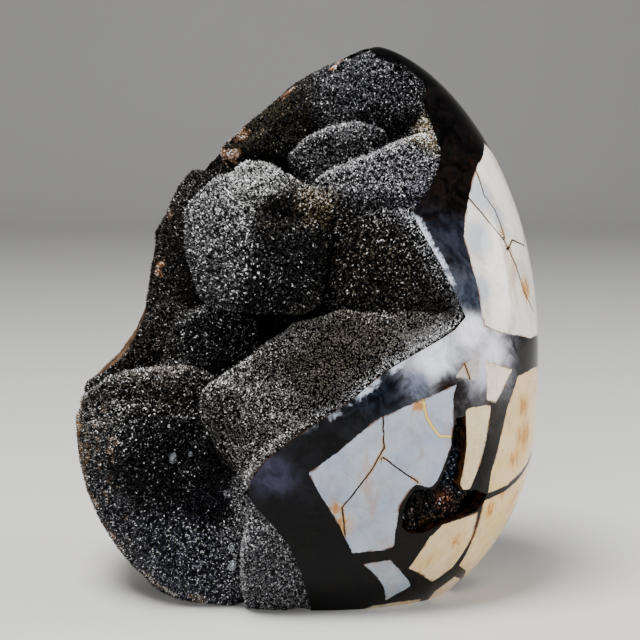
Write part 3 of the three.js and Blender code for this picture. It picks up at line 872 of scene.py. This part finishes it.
# the mounds in the vug, each the hull of a few balls: x, y, z and radius in mm
mounds = {
    "lowerLeftBlock": [
        [-66.5, -16, 55.2, 6], [-56.4, -24, 62.3, 7], [-43.5, -30, 63.4, 7], [-32.6, -32, 63.7, 6],
        [-67.6, -16, 44, 6], [-48, -33, 49, 12], [-30.2, -34, 49.2, 8], [-24.1, -35, 32.3, 7],
        [-63.2, -16, 26.3, 6], [-56, -14, 9.6, 6], [-42.7, -28, 13.2, 9], [-25, -32, 17.4, 8],
        [-48.3, -19, 1.8, 5], [-24.6, -30, 4.2, 5], [-45, 8, 40, 25]],
    "lowerLeftLip": [
        [-66.7, -19, 61.5, 4], [-61.6, -24, 65.8, 4], [-53.9, -30, 68.9, 4], [-45.2, -34, 69.6, 4.5],
        [-35.9, -36.5, 71.5, 4], [-30.5, -36, 68.7, 4], [-45, -10, 66, 5]],
    "ridge": [
        [-26.6, -42, 65.7, 5], [-20, -40.5, 70, 4.5], [-2, -38, 83.3, 5], [11.5, -37.5, 87.8, 4.5],
        [28.1, -37, 86.2, 4], [44.8, -38.5, 85.2, 3.5], [-13.2, -50, 42.7, 4], [-16.8, -48, 45.9, 4],
        [-3.4, -51, 58, 4], [12.8, -51, 68.1, 4], [30.6, -48, 78.4, 4], [-22.3, -45, 52.9, 5],
        [-2, -20, 62, 12], [-21, -22, 58, 8]],
    "ridgeKnob": [
        [-26.5, -47.5, 67.5, 4.5], [-27.4, -48, 62.2, 4], [-23.9, -47, 68.1, 4], [-22.7, -48, 61, 4],
        [-24, -38, 62, 4]],
    "footMound": [
        [-13, -47.5, 31.5, 4.5], [-14.9, -46.5, 22.7, 4.5], [-15.4, -42.5, 12.4, 4.5], [-15, -36.5, 3.5, 4.5],
        [-5, -46, 17.9, 4], [-4.6, -38.5, 6, 4.5], [-8.5, -49, 27.9, 4], [-10, -25, 15, 8]],
    "boulder": [
        [-30.7, -26, 120.7, 6], [-30.3, -30, 110.1, 6], [-26.9, -32.5, 98.4, 5.5], [-18.4, -39, 99.4, 7],
        [-2, -39, 98.8, 7], [-20.1, -33, 111.8, 9], [0.4, -37, 112.2, 7], [1.6, -33, 120.9, 5],
        [-24.1, -24, 126.7, 6], [-14.9, -25, 128, 6], [-15, -5, 112, 16]],
    "boulderTop": [
        [-17.2, -27.5, 132.4, 4.5], [-17.7, -31.5, 129.5, 4.5], [-12.3, -29.5, 131.5, 5],
        [-5, -35, 128.2, 4.5], [1.6, -38, 123.9, 4], [4.6, -37.5, 122.1, 3.5], [-11.6, -34.5, 127.3, 4],
        [-10, -22, 122, 5]],
    "overhang": [
        [13.6, -33, 118.8, 5], [28.5, -37.5, 120, 3.5], [36.8, -39, 110.8, 4], [42.9, -39, 95.8, 4],
        [11.7, -26, 94.4, 6], [35.9, -31, 91.3, 5], [22.1, -32, 105.7, 8], [20, -8, 107, 16]],
    "thirdLedge": [
        [5.5, -32, 128.6, 4], [11.5, -32.5, 131.7, 3.5], [19.7, -31, 134.9, 3.5], [28.2, -29, 138.1, 3.5],
        [35.8, -26, 142.3, 3], [37.5, -29.8, 135.8, 3.2], [35.1, -34.5, 128.5, 3.5], [27.9, -36, 126.7, 4],
        [12.1, -36, 125.9, 4], [20, -8, 127, 12]],
    "secondLedge": [
        [-2.7, -23.5, 136.5, 3.5], [1.6, -23.5, 140.4, 3.5], [7.4, -23.5, 143.4, 3.5],
        [14.7, -22.5, 144.6, 3.5], [21.1, -23, 143.4, 3], [10.1, -23, 135.5, 4], [1.6, -24, 132.2, 4],
        [12, -2, 134, 13]],
    "topMound": [
        [18, -7.5, 163.3, 4.5], [27.1, -8.5, 162, 4.5], [32.1, -13.5, 157.7, 4.5], [33.2, -17, 151.6, 4],
        [27.4, -16, 149.7, 4], [19.4, -15.5, 151.6, 4.5], [11.9, -4, 164, 4], [17, 4, 150, 12],
        [14, -9, 146, 6], [30, -11, 145, 6]],
    "topMoundLeft": [
        [4.3, -9.5, 156.5, 4.5], [4.3, -13.5, 150.3, 4.5], [9.6, -8, 159.6, 4], [12, -16, 149.1, 4],
        [13.3, -13, 155.2, 4], [10, -2, 146, 9]],
    "upperLeftSlope": [
        [-24, 4, 138, 4], [-3, 4, 156, 4], [9, 5, 164, 4], [-14.2, -8, 139.1, 4], [-2.2, -10, 139.7, 5],
        [1.5, -8, 149.7, 4], [5.6, -2, 161.5, 4], [0, 10, 142, 10], [-8, 4, 132, 8]],
    "leftWall": [
        [-35, 2, 127, 6], [-41, 3, 117, 5], [-44, 3, 110, 4], [-45, 1, 93, 5], [-34, -4, 122, 6],
        [-36, -1, 107.7, 8], [-37.7, -1, 94.8, 8], [-25, 8, 110, 10], [-46, 6, 86, 8]],
    "middleLeftMound": [
        [-36.5, -18, 82.2, 6], [-30.1, -21, 85.4, 6], [-20.7, -22.5, 85.6, 5.5], [-19.2, -24, 78, 6],
        [-30, -24, 74.9, 6], [-40.4, -18, 72.1, 6], [-32, 8, 76, 13]],
    "lowestLeftMound": [
        [-44.5, -5, 86.9, 5], [-39.9, -7, 85.9, 5], [-51.1, -7, 78.5, 5], [-54.2, -8, 72.5, 5],
        [-45.1, -10.5, 76.7, 5.5], [-46.7, -11, 69.8, 5], [-46, 8, 76, 10]],
}

# the crystals by place: x, y, z and reach in mm, their middle tone, how far single faces stray from it, their
# size. The tones are partly the calcite's own and partly painted light and shade
druseTonesAndPaintedShading = [
    # near-black places are painted shade in creases, recesses and undersides; the palest are painted light on
    # tops and crests
    [-27, -38, 113, 8, "#323233", 1.8, 1.1],
    [-16, -35, 129, 4, "#6b6a68", 1.4, 1.1],
    [-24, -36, 100, 5, "#303031", 1.8, 1.1],
    [-9, -40, 120, 5, "#0b0907", 1.7, 1.1],
    [-4, -43, 110, 8, "#060606", 2.3, 1.1],
    [-8, -44, 100, 7, "#080808", 2.6, 1.1],
    [3, -42, 123, 3, "#4f4432", 1.4, 1],
    [12, -46, 79, 9, "#37322c", 0.65, 0.75],
    [36, -43, 87, 6, "#37332f", 0.65, 0.75],
    [-2, -42, 88, 4.5, "#504c47", 0.8, 0.75],
    [-13, -54, 60, 7, "#53504d", 1.15, 0.85],
    [-28, -50, 64, 3, "#3a3835", 1.3, 0.85],
    [-45, -42, 48, 10, "#060606", 2.6, 0.95],
    [-25, -42, 46, 5, "#030303", 1.7, 0.95],
    [-29, -41, 34, 5, "#08080b", 2.2, 0.95],
    [-63, -26, 57, 6, "#2b2a28", 1.8, 0.9],
    [-36, -40, 15, 8, "#343540", 2.1, 0.95],
    [-57, -28, 26, 7, "#202024", 2.3, 0.95],
    [-45, -36, 72, 5, "#322d28", 1.5, 0.9],
    [19, -17, 158, 8, "#242426", 1.4, 0.85],
    [8, -26, 142, 6, "#3d3c3e", 1.3, 0.9],
    [24, -36, 131, 6, "#464549", 1.35, 0.9],
    [33, -38, 126, 4, "#45434f", 1.2, 0.85],
    [37, -26, 146, 2, "#a08a58", 1.0, 0.9],
    [21, -40, 106, 9, "#1b1712", 2.3, 0.95],
    [-11, -48, 17, 10, "#66656a", 1.2, 0.95],
    [-30, -28, 82, 7, "#070707", 2.5, 1],
    [-54, -14, 82, 7, "#0c0a09", 1.9, 0.9],
    [-42, -6, 108, 9, "#110f0e", 1.7, 0.9],
    [-8, -11, 147, 8, "#0a0805", 1.4, 0.9],
    [-10, -14, 88, 6, "#050505", 2.0, 1],
]

# rust and cream earth of the rind that clings along the crust's left rim: x, y, z and reach in mm, and its
# tint
rimPatches = [
    [-27, -10, 137, 3.5, "#7d604a"], [-31, -4, 136.5, 3, "#a98a72"], [-24, -4, 138, 3, "#8d6a4e"],
    [-29, 3, 138, 5, "#7a563a"], [-49, -3, 102, 3.5, "#7a4e2c"], [-49, -5, 100, 1.6, "#cfa98c"],
    [-44, -2, 119, 2, "#4a3628"], [9, -3, 167.5, 3, "#7a4218"], [14, -4, 169, 2, "#b59f80"],
    [-20, 0, 144, 3, "#3d2918"], [-6, 0, 158, 3, "#40291a"], [-71, -19, 55, 2, "#8a7052"],
    [-69, -21, 48, 1.6, "#a88a66"], [-72.5, -18, 45, 2.2, "#6d4526"], [-65.5, -21, 36, 2.4, "#7d4f28"],
    [-64.5, -21.5, 31, 1.7, "#b98c5a"], [-60.5, -20.5, 19.5, 2.4, "#9a6430"],
    [-57.5, -20.5, 15.5, 1.9, "#c9b594"], [-49, -22, 5, 4, "#9a7a58"], [-43, -26, 2, 3, "#c4b59c"],
    [-34, -33, 1, 3.5, "#8e7a62"], [-22, -40, 1, 3, "#a8987c"], [-62, -16, 70, 2.5, "#54402e"],
    [-54, -26, 76, 2.5, "#4b3a2a"],
]


# even out a mesh: every point moves towards the middle of its neighbours
def smoothPoints(mesh, rounds, share=0.5):
    points = pointsOf(mesh)
    edges = np.empty(len(mesh.edges) * 2, dtype=np.int64)
    mesh.edges.foreach_get("vertices", edges)
    a, b = edges.reshape(-1, 2).T
    count = np.bincount(np.concatenate([a, b]), minlength=len(points))[:, None]
    for _ in range(rounds):
        total = np.zeros_like(points)
        for here, there in ((a, b), (b, a)):
            for axis in range(3):
                total[:, axis] += np.bincount(here, points[there, axis], len(points))
        points += share * (total / count - points)
    putPoints(mesh, points)


# one even mesh over everything in a form
def remeshed(form, voxel):
    return modified(meshFrom(form, "form"), "REMESH", mode="VOXEL", voxel_size=voxel * mm)


def raised(mesh, bumps):
    points = pointsOf(mesh)
    rise = np.zeros(len(points))
    for seed, (size, height) in enumerate(bumps):
        rise += height * noiseAt(points, size, seed + 5)
    putPoints(mesh, points + valuesOf(mesh.vertices, "normal") * rise[:, None])


# the height in y of the ground surface in front of points, in mm
def frontOf(x, z):
    u = np.clip(uAt(z), -1, 0.9999)
    share = shareAt(u)
    across = np.clip(np.abs(x - axisAt(u)) / (stone["halfWidth"] * share), 0, 1)
    power = stone["sectionPower"]
    return -stone["halfDepth"] * share * (1 - across ** power) ** (1 / power)


# the vug's edge on the ground surface, in steps of 0.4 mm
def edgeLine():
    edge = np.array(vugEdge, float)
    run = np.concatenate([[0], np.cumsum(np.linalg.norm(np.diff(edge, axis=0), axis=1))])
    along = np.arange(0, run[-1], 0.4)
    x, z = np.interp(along, run, edge[:, 0]) + stone["middleX"], np.interp(along, run, edge[:, 1])
    shown = (z > 0) & (z < stone["height"] - 2.5)
    x, z = x[shown], z[shown]
    return np.stack([x, frontOf(x, z), z], axis=1)


# the mounds and the floor of the vug as one form, trimmed, and brought up to the vug's edge
def moundMesh():
    whole = bmesh.new()
    for balls in mounds.values():
        form = hullForm(balls)
        bmesh.ops.scale(form, verts=form.verts, vec=(mm, mm, mm))
        whole.from_mesh(meshFrom(form, "mound"))
    outline = [[x + druse["pastEdge"], z] for x, z in vugEdge] + pastLeft
    floor = prism("floor", outline, lambda p: onFloor(p, 0), lambda p: onFloor(p, druse["floorDepth"]))
    whole.from_mesh(floor.data)
    bpy.data.objects.remove(floor)
    mesh = remeshed(whole, druse["voxel"])
    smoothPoints(mesh, druse["smoothing"])
    trim(mesh)
    toEdge(mesh)
    smoothPoints(mesh, druse["edgeSmoothing"])
    raised(mesh, druse["bumps"])
    trim(mesh)
    mesh = modified(mesh, "DECIMATE", ratio=druse["facesKept"])
    trim(mesh)
    return mesh


# nothing stands outside the ground surface, under the base, or far behind the floor
def trim(mesh):
    points = pointsOf(mesh)
    level = levelOf(points)
    axis = np.stack([axisAt(uAt(points[:, 2])), np.zeros(len(points)), points[:, 2]], axis=1)
    pulled = axis + (points - axis) * (druse["under"] / np.maximum(level, 0.01))[:, None]
    points = np.where((level > druse["under"])[:, None], pulled, points)
    points[:, 2] = np.clip(points[:, 2], druse["foot"], stone["height"] - druse["belowTop"])
    points[:, 1] = np.minimum(points[:, 1], floorOfVug(points) + druse["depth"])
    form = hullForm(rind["hollow"])
    form.normal_update()
    outs = np.array([face.normal for face in form.faces])
    reach = np.array([face.normal.dot(face.verts[0].co) for face in form.faces])
    form.free()
    near = np.nonzero(points[:, 0] < -30)[0]
    gap = reach - points[near] @ outs.T
    inside = (gap > 0).all(axis=1)
    closest = gap.argmin(axis=1)
    shift = outs[closest] * gap[np.arange(len(near)), closest][:, None]
    points[near[inside]] += shift[inside]
    putPoints(mesh, points)


# next to the vug's edge, the crust comes up to the ground surface
def toEdge(mesh):
    points = pointsOf(mesh)
    edge = edgeLine()
    apart, _ = nearest(points * [1, 0, 1], edge * [1, 0, 1])
    deepest = frontOf(points[:, 0], points[:, 2]) + lip["under"] + lip["slope"] * apart
    isForward = valuesOf(mesh.vertices, "normal")[:, 1] < lip["facing"]
    isFace = isForward & (apart < lip["width"]) & (points[:, 1] > deepest)
    points[isFace, 1] = deepest[isFace]
    putPoints(mesh, points)


# ways to look from a face, of which one that meets nothing makes it an open face
ways = [(0, 0, 0), (0, -1.4, 0.4), (0, -1.4, -0.4), (0.7, -1.2, 0), (-0.7, -1.2, 0), (-1.4, 0, 0.5),
        (0, -0.5, 1.4)]


# the faces that something outside can see, as points spread evenly over them, and their directions
def openSpots(mesh, count, rng):
    mesh.calc_loop_triangles()
    size = len(mesh.loop_triangles)
    tris = np.empty(size * 3, dtype=np.int32)
    mesh.loop_triangles.foreach_get("vertices", tris)
    tris = tris.reshape(-1, 3)
    points = pointsOf(mesh)
    a, b, c = points[tris[:, 0]], points[tris[:, 1]], points[tris[:, 2]]
    cross = np.cross(b - a, c - a)
    area = np.linalg.norm(cross, axis=1)
    outs = cross / np.maximum(area, 1e-9)[:, None]
    tree = BVHTree.FromPolygons([Vector(p) for p in points], tris.tolist())
    middles = (a + b + c) / 3
    isOpen = np.zeros(size, bool)
    for i in np.nonzero(middles[:, 1] < floorOfVug(middles) + druse["openTo"])[0]:
        start = Vector(middles[i] + 0.3 * outs[i])
        out = Vector(outs[i])
        for way in ways:
            if tree.ray_cast(start, (out + Vector(way)).normalized())[0] is None:
                isOpen[i] = True
                break
    weight = np.where(isOpen, area, 0)
    pick = rng.choice(size, count, p=weight / weight.sum())
    s, t = rng.random((2, count))
    fold = s + t > 1
    s, t = np.where(fold, 1 - s, s)[:, None], np.where(fold, 1 - t, t)[:, None]
    print(f"open faces: {isOpen.sum()} of {size}, {weight.sum() / 200:.0f} square cm")
    normals = valuesOf(mesh.vertices, "normal")
    smooth = normals[tris[pick, 0]] * (1 - s - t) + normals[tris[pick, 1]] * s + normals[tris[pick, 2]] * t
    spots = a[pick] * (1 - s - t) + b[pick] * s + c[pick] * t
    return spots, smooth


# pointed crystals with three flat faces, rooted in the crust, as one joined mesh
def crystalMesh(name, at, out, half, steep, rng):
    count = len(at)
    helper = np.where(np.abs(out[:, 2:3]) < 0.9, [[0.0, 0.0, 1.0]], [[1.0, 0.0, 0.0]])
    sideA = np.cross(out, helper)
    sideA /= np.linalg.norm(sideA, axis=1, keepdims=True)
    sideB = np.cross(out, sideA)
    roll = rng.uniform(0, 2 * math.pi, count)
    corners = [at + out * (half * steep)[:, None]]
    for i in range(3):
        angle = roll + i * 2 * math.pi / 3
        reach = half[:, None] * (np.cos(angle)[:, None] * sideA + np.sin(angle)[:, None] * sideB)
        corners.append(at + reach - out * (0.5 * half)[:, None])
    points = np.stack(corners, axis=1).reshape(-1, 3)
    first = (np.arange(count) * 4)[:, None, None]
    faces = (first + np.array([[0, 1, 2], [0, 2, 3], [0, 3, 1]])[None]).reshape(-1, 3)
    return meshOf(name, points, faces)


# Calcite grown as small crystals: smoky and near black and faintly glossy. The crust's glitter is painted:
# pale faces are painted glints. Real crystals are 0.3 to 1 mm across. The finest are too fine to show and
# are drawn at 0.4 mm.
def grownDruse(name, tintName, roughness, glow):
    material, tree, surface = newMaterial(name)
    tint = addNode(tree, "Attribute", attribute_name=tintName)
    setInputs(tree, surface, {"Base Color": tint, "Roughness": roughness})
    setInputs(tree, surface, {"IOR": 1.62, "Specular IOR Level": glow})
    return material


# how earthy each place is, for crystals that face this way
def earthAt(points, out):
    facing = smoothStep(*earth["facing"], -out[:, 0] + 0.3 * noiseAt(points, 3, 4))
    return facing * (points[:, 0] < earth["leftOf"]) * (points[:, 2] < earth["under"])


# tones with the frosted border over them
def whitened(points, tones, look, rng):
    apart = nearest(points * [1, 0, 1], edgeLine() * [1, 0, 1])[0]
    share = look["frost"] * np.exp(-apart / frost["reach"]) * frostAt(points[:, 2], frost["onCrust"])
    return tones + (share * rng.random(len(points)))[:, None] * (np.array(linear(frost["tint"])) - tones)


# one tone for each of the three faces of a crystal, straying at random; the pale faces are painted glints
def facetTonesAndGlints(tones, paintedLightAndSpread, strays, look, rng):
    stray = np.repeat(paintedLightAndSpread, 3) + rng.normal(0, look["spread"][1], 3 * len(tones)) * np.repeat(strays, 3)
    facets = np.repeat(tones, 3, axis=0)[:, :3] * np.exp(np.clip(stray, -6, 6))[:, None]
    grey = facets.mean(axis=1, keepdims=True)
    facets = np.minimum(facets + smoothStep(*look["greyFrom"], grey) * (grey - facets), look["brightest"])
    return np.concatenate([facets, np.ones((len(facets), 1))], axis=1)


# crystals over the open faces of a crust, in joined meshes
def growCrystals(name, node, mesh, look, tints, material, rng):
    at, out = openSpots(mesh, look["crystals"], rng)
    # how far each crystal faces up and to the left, towards the lamps, for the painted light
    up = np.clip(out[:, 2] - look["paintedLightFromLeft"] * out[:, 0], -1, 1)
    earthy = earthAt(at, out)
    out = out + rng.normal(0, look["tilt"] / 1.7, out.shape)
    out /= np.linalg.norm(out, axis=1, keepdims=True)
    shares = sharesOf(at, tints, 3.0)
    tones = shares @ np.array([linear(place[4]) for place in tints])
    strays, sizes = (shares @ np.array([place[5:7] for place in tints])).T
    half = rng.uniform(*look["half"], len(at)) * sizes
    steep = rng.uniform(*look["steepness"], len(at))
    tips = at + out * (half * steep)[:, None]
    isAbove = np.minimum(tips[:, 2], at[:, 2] - half) > 0
    keep = (levelOf(at + out * half[:, None]) < look["past"]) & isAbove
    at, out, half, steep, up, earthy = at[keep], out[keep], half[keep], steep[keep], up[keep], earthy[keep]
    tones, strays = tones[keep], strays[keep] * (1 - earth["calm"] * earthy)
    tones = tones + (earth["share"] * earthy)[:, None] * (np.array(linear(earth["tint"])) - tones)
    tones = whitened(at, withRim(at, tones), look, rng)
    # painted light and shade: crystals on tops and on the left paler, on undersides darker, plus each
    # crystal's own random stray
    paintedLightAndSpread = look["paintedLightOnTops"] * (up - look["evenAt"]) + rng.normal(0, look["spread"][0], len(at)) * strays
    parts = np.array_split(np.argsort(-at[:, 2]), max(1, math.ceil(len(at) / look["perPiece"])))
    for i, part in enumerate(parts):
        grown = crystalMesh("crystals", at[part], out[part], half[part], steep[part], rng)
        facets = facetTonesAndGlints(tones[part], paintedLightAndSpread[part], strays[part], look, rng)
        putValues(grown, "crystalTintAndPaintedLight", np.repeat(facets, 3, axis=0), "CORNER")
        piece = newPiece(f"{name}{i + 1}", grown, material)
        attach(piece, "root")
        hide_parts(node)
    print(f"{name}: {len(at)} crystals in {len(parts)} pieces")


# the crust's colours with the rim's patches over them
def withRim(points, colours):
    ragged = 0.7 * noiseAt(points, 2.2, 9) + 0.4 * noiseAt(points, 5, 8)
    for x, y, z, reach, hexCode in rimPatches:
        apart = np.linalg.norm(points - (x, y, z), axis=1) / reach
        share = 0.9 * (1 - smoothStep(0.75, 1.1, apart + ragged))[:, None]
        colours = colours + share * (np.array(linear(hexCode)) - colours)
    return colours


def makeCrust(name, node, mesh, look, tints, material, crystalMaterial):
    rng = np.random.default_rng(look["seed"])
    points = pointsOf(mesh)
    dark = look["darkness"]
    # the crust takes the crystals' tones far darker, with their painted light and shade
    putValues(mesh, "crustTintAndPaintedShading", withRim(points, blendTints(points, tints) * [dark, dark, dark, 1]))
    mesh.shade_smooth()
    piece = newPiece(name, mesh, material)
    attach(piece, "root")
    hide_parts(node)
    print(f"{name}: {len(mesh.polygons)} faces")
    growCrystals(name + "Crystals", node, mesh, look, tints, crystalMaterial, rng)


# the open vein's crust, in what differs from the vug's
pocket = {
    **druse,
    "seed": 22,
    "voxel": 0.5,
    "smoothing": 3,
    "bumps": [[4, 0.6], [1.8, 0.3]],
    "crystals": 3500,
    "half": [0.25, 0.6],
    "steepness": [1.0, 1.8],
    "tilt": 0.7,
    # painted light on tops, weaker than in the vug
    "paintedLightOnTops": 0.6,
    "brightest": 0.6,
    "frost": 0,
}

pocketTints = [
    [46, -47, 58, 5, "#120c09", 1.6, 1],
    [46, -47, 45, 5, "#161c24", 1.8, 1],
    [34, -50, 34, 6, "#0e0b0a", 1.8, 1],
    [52, -42, 35, 4, "#1b100a", 1.6, 1],
    [36, -48, 30, 3, "#33230f", 1.4, 1],
    [42, -47, 36.5, 1.6, "#b4622c", 1.2, 1.1],
]


def pocketMesh():
    form = bmesh.new()
    form.from_mesh(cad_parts["vein_druse"].data)
    mesh = remeshed(form, pocket["voxel"])
    smoothPoints(mesh, pocket["smoothing"])
    raised(mesh, pocket["bumps"])
    return mesh


# clear crystals that outgrew the others: x, z and half width in mm, each rooted on the crust there
clearOnes = [[-40, 48.8, 1.55], [-34.9, 49.7, 0.85], [-22.7, 14.8, 1.6], [-22.7, 20.2, 1.0],
             [-24.3, 38.3, 0.85]]

clearShape = {
    "seed": 9,
    "sides": 6,
    "rings": [[-1.5, 0.25], [-0.7, 1], [0.5, 0.92], [1.35, 0.3]],    # place along it and width
    "flattened": 0.75,
    "lean": [0.35, -0.55, 0.85],
    "leanSpread": 0.15,
    "widthSpread": 0.04,
    "standsOut": 0.85,       # half widths, from the crust to the crystal's middle
}


# Clear calcite, grown: plain see-through crystal with sharp faces that catch the lights, and veils of 1.5 mm
def clearCalcite():
    material, tree, surface = newMaterial("clearGrownCalcite")
    spot = addNode(tree, "TexCoord", output="Object")
    veil = addNode(tree, "TexNoise", {"Vector": spot, "Scale": 1 / (1.5 * mm), "Detail": 3.0})
    rough = addNode(tree, "MapRange", {"Value": veil, "To Min": 0.02, "To Max": 0.22})
    inputs = {"Base Color": linear("#ccd3db"), "Roughness": rough, "Transmission Weight": 0.9, "IOR": 1.6}
    setInputs(tree, surface, inputs)
    return material


def clearMesh(at, half, rng):
    along = Vector(clearShape["lean"]) + Vector(rng.normal(0, clearShape["leanSpread"], 3))
    turned = along.to_track_quat("Z", "X").to_matrix()
    sides = clearShape["sides"]
    spread = clearShape["widthSpread"]
    roll = rng.uniform(0, 1)
    form = bmesh.new()
    for height, width in clearShape["rings"]:
        for i in range(sides):
            angle = roll + i * 2 * math.pi / sides
            width += rng.uniform(-spread, spread)
            across = math.sin(angle) * width * clearShape["flattened"]
            flat = Vector((math.cos(angle) * width, across, height))
            form.verts.new((Vector(at) + turned @ (flat * half)) * mm)
    bmesh.ops.convex_hull(form, input=form.verts)
    bmesh.ops.recalc_face_normals(form, faces=form.faces)
    return meshFrom(form, "clear")


def makeClearCrystals():
    material = clearCalcite()
    rng = np.random.default_rng(clearShape["seed"])
    crust = bmesh.new()
    crust.from_mesh(bpy.data.objects["vugDruse"].data)
    tree = BVHTree.FromBMesh(crust)
    crust.free()
    for i, (x, z, half) in enumerate(clearOnes):
        x += stone["middleX"]
        root = tree.ray_cast(Vector((x, -100, z)) * mm, Vector((0, 1, 0)))[0] / mm
        at = (x, root.y - clearShape["standsOut"] * half, z)
        piece = newPiece(f"clearCrystal{i + 1}", clearMesh(at, half, rng), material)
        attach(piece, "root")
        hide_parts("druse")
    print("clear crystals:", len(clearOnes))


floor = {                    # metres
    "halfWidth": 4.0,
    "front": -3.0,
    "bendAt": 1.6,
    "bendRadius": 0.8,
    "top": 4.0,
    "tints": ["#cbcac7", "#d0cfcc"],
    "cloudSize": 1 / 3,
}


# Board painted matt and rolled: pale, with soft dull reflections and hardly a cloud in it
def rolledPaint():
    material, tree, surface = newMaterial("rolledMattPaint")
    spot = addNode(tree, "TexCoord", output="Object")
    cloud = addNode(tree, "TexNoise", {"Vector": spot, "Scale": 1 / floor["cloudSize"]})
    pale, paler = [linear(tint) for tint in floor["tints"]]
    tone = addNode(tree, "Mix", {0: cloud, 6: pale, 7: paler}, 2, data_type="RGBA")
    setInputs(tree, surface, {"Base Color": tone, "Roughness": 0.55})
    return material


def makeStage():
    start, radius = floor["bendAt"], floor["bendRadius"]
    profile = [(floor["front"], 0.0), (start, 0.0)]
    for angle in np.linspace(0.1, math.pi / 2, 12):
        profile.append((start + radius * math.sin(angle), radius - radius * math.cos(angle)))
    profile.append((start + radius, floor["top"]))
    across = (-floor["halfWidth"], floor["halfWidth"])
    points = [(x / mm, y / mm, z / mm) for y, z in profile for x in across]
    faces = [[2 * i, 2 * i + 1, 2 * i + 3, 2 * i + 2] for i in range(len(profile) - 1)]
    mesh = meshOf("sweep", points, faces)
    mesh.shade_smooth()
    newPiece("sweep", mesh, rolledPaint())
    print("floor: a sweep,", len(faces), "faces")


lights = {
    "high": {"at": (-0.25, -0.3, 1.15), "size": 0.5, "power": 30},
    "right": {"at": (1.1, 0.02, 0.3), "size": 0.42, "power": 16},
    "front": {"at": (-0.35, -1.25, 0.45), "size": 0.5, "power": 9},
}
sky = {"tint": "#e4e6ea", "strength": 0.1}


def makeLights():
    aim = Vector((0, 0, 0.09))
    for name, light in lights.items():
        data = bpy.data.lights.new(name, "AREA")
        data.size = light["size"]
        data.energy = light["power"]
        lamp = newObject(name, data)
        lamp.location = light["at"]
        lamp.rotation_euler = (aim - lamp.location).to_track_quat("-Z", "Y").to_euler()
    world = bpy.data.worlds.new("studio")
    world.use_nodes = True
    world.node_tree.nodes["Background"].inputs["Color"].default_value = linear(sky["tint"])
    world.node_tree.nodes["Background"].inputs["Strength"].default_value = sky["strength"]
    bpy.context.scene.world = world
    print("lights:", ", ".join(lights))


camera = {
    "aim": (0.00426, 0, 0.085),
    "distance": 0.572,
    "rise": math.radians(7),
    "lens": 100,
    "sensor": 36,
}


def makeCamera():
    data = bpy.data.cameras.new("camera")
    data.lens = camera["lens"]
    data.sensor_width = camera["sensor"]
    data.clip_start = 0.01
    eye = newObject("camera", data)
    aim = Vector(camera["aim"])
    away = Vector((0, -math.cos(camera["rise"]), math.sin(camera["rise"])))
    eye.location = aim + away * camera["distance"]
    eye.rotation_euler = (-away).to_track_quat("-Z", "Y").to_euler()
    bpy.context.scene.camera = eye
    print("camera:", camera["lens"], "mm lens at", camera["distance"], "m")


makeCamera()
makeLights()
makeStage()
makeStone()
crustMaterial = grownDruse("grownDruseBase", "crustTintAndPaintedShading", 0.6, 0)
crystalMaterial = grownDruse("grownSmokyCalcite", "crystalTintAndPaintedLight", 0.2, 0.06)
makeCrust("vugDruse", "druse", moundMesh(), druse, druseTonesAndPaintedShading, crustMaterial, crystalMaterial)
makeCrust("veinDruse", "vein_druse", pocketMesh(), pocket, pocketTints, crustMaterial, crystalMaterial)
makeClearCrystals()
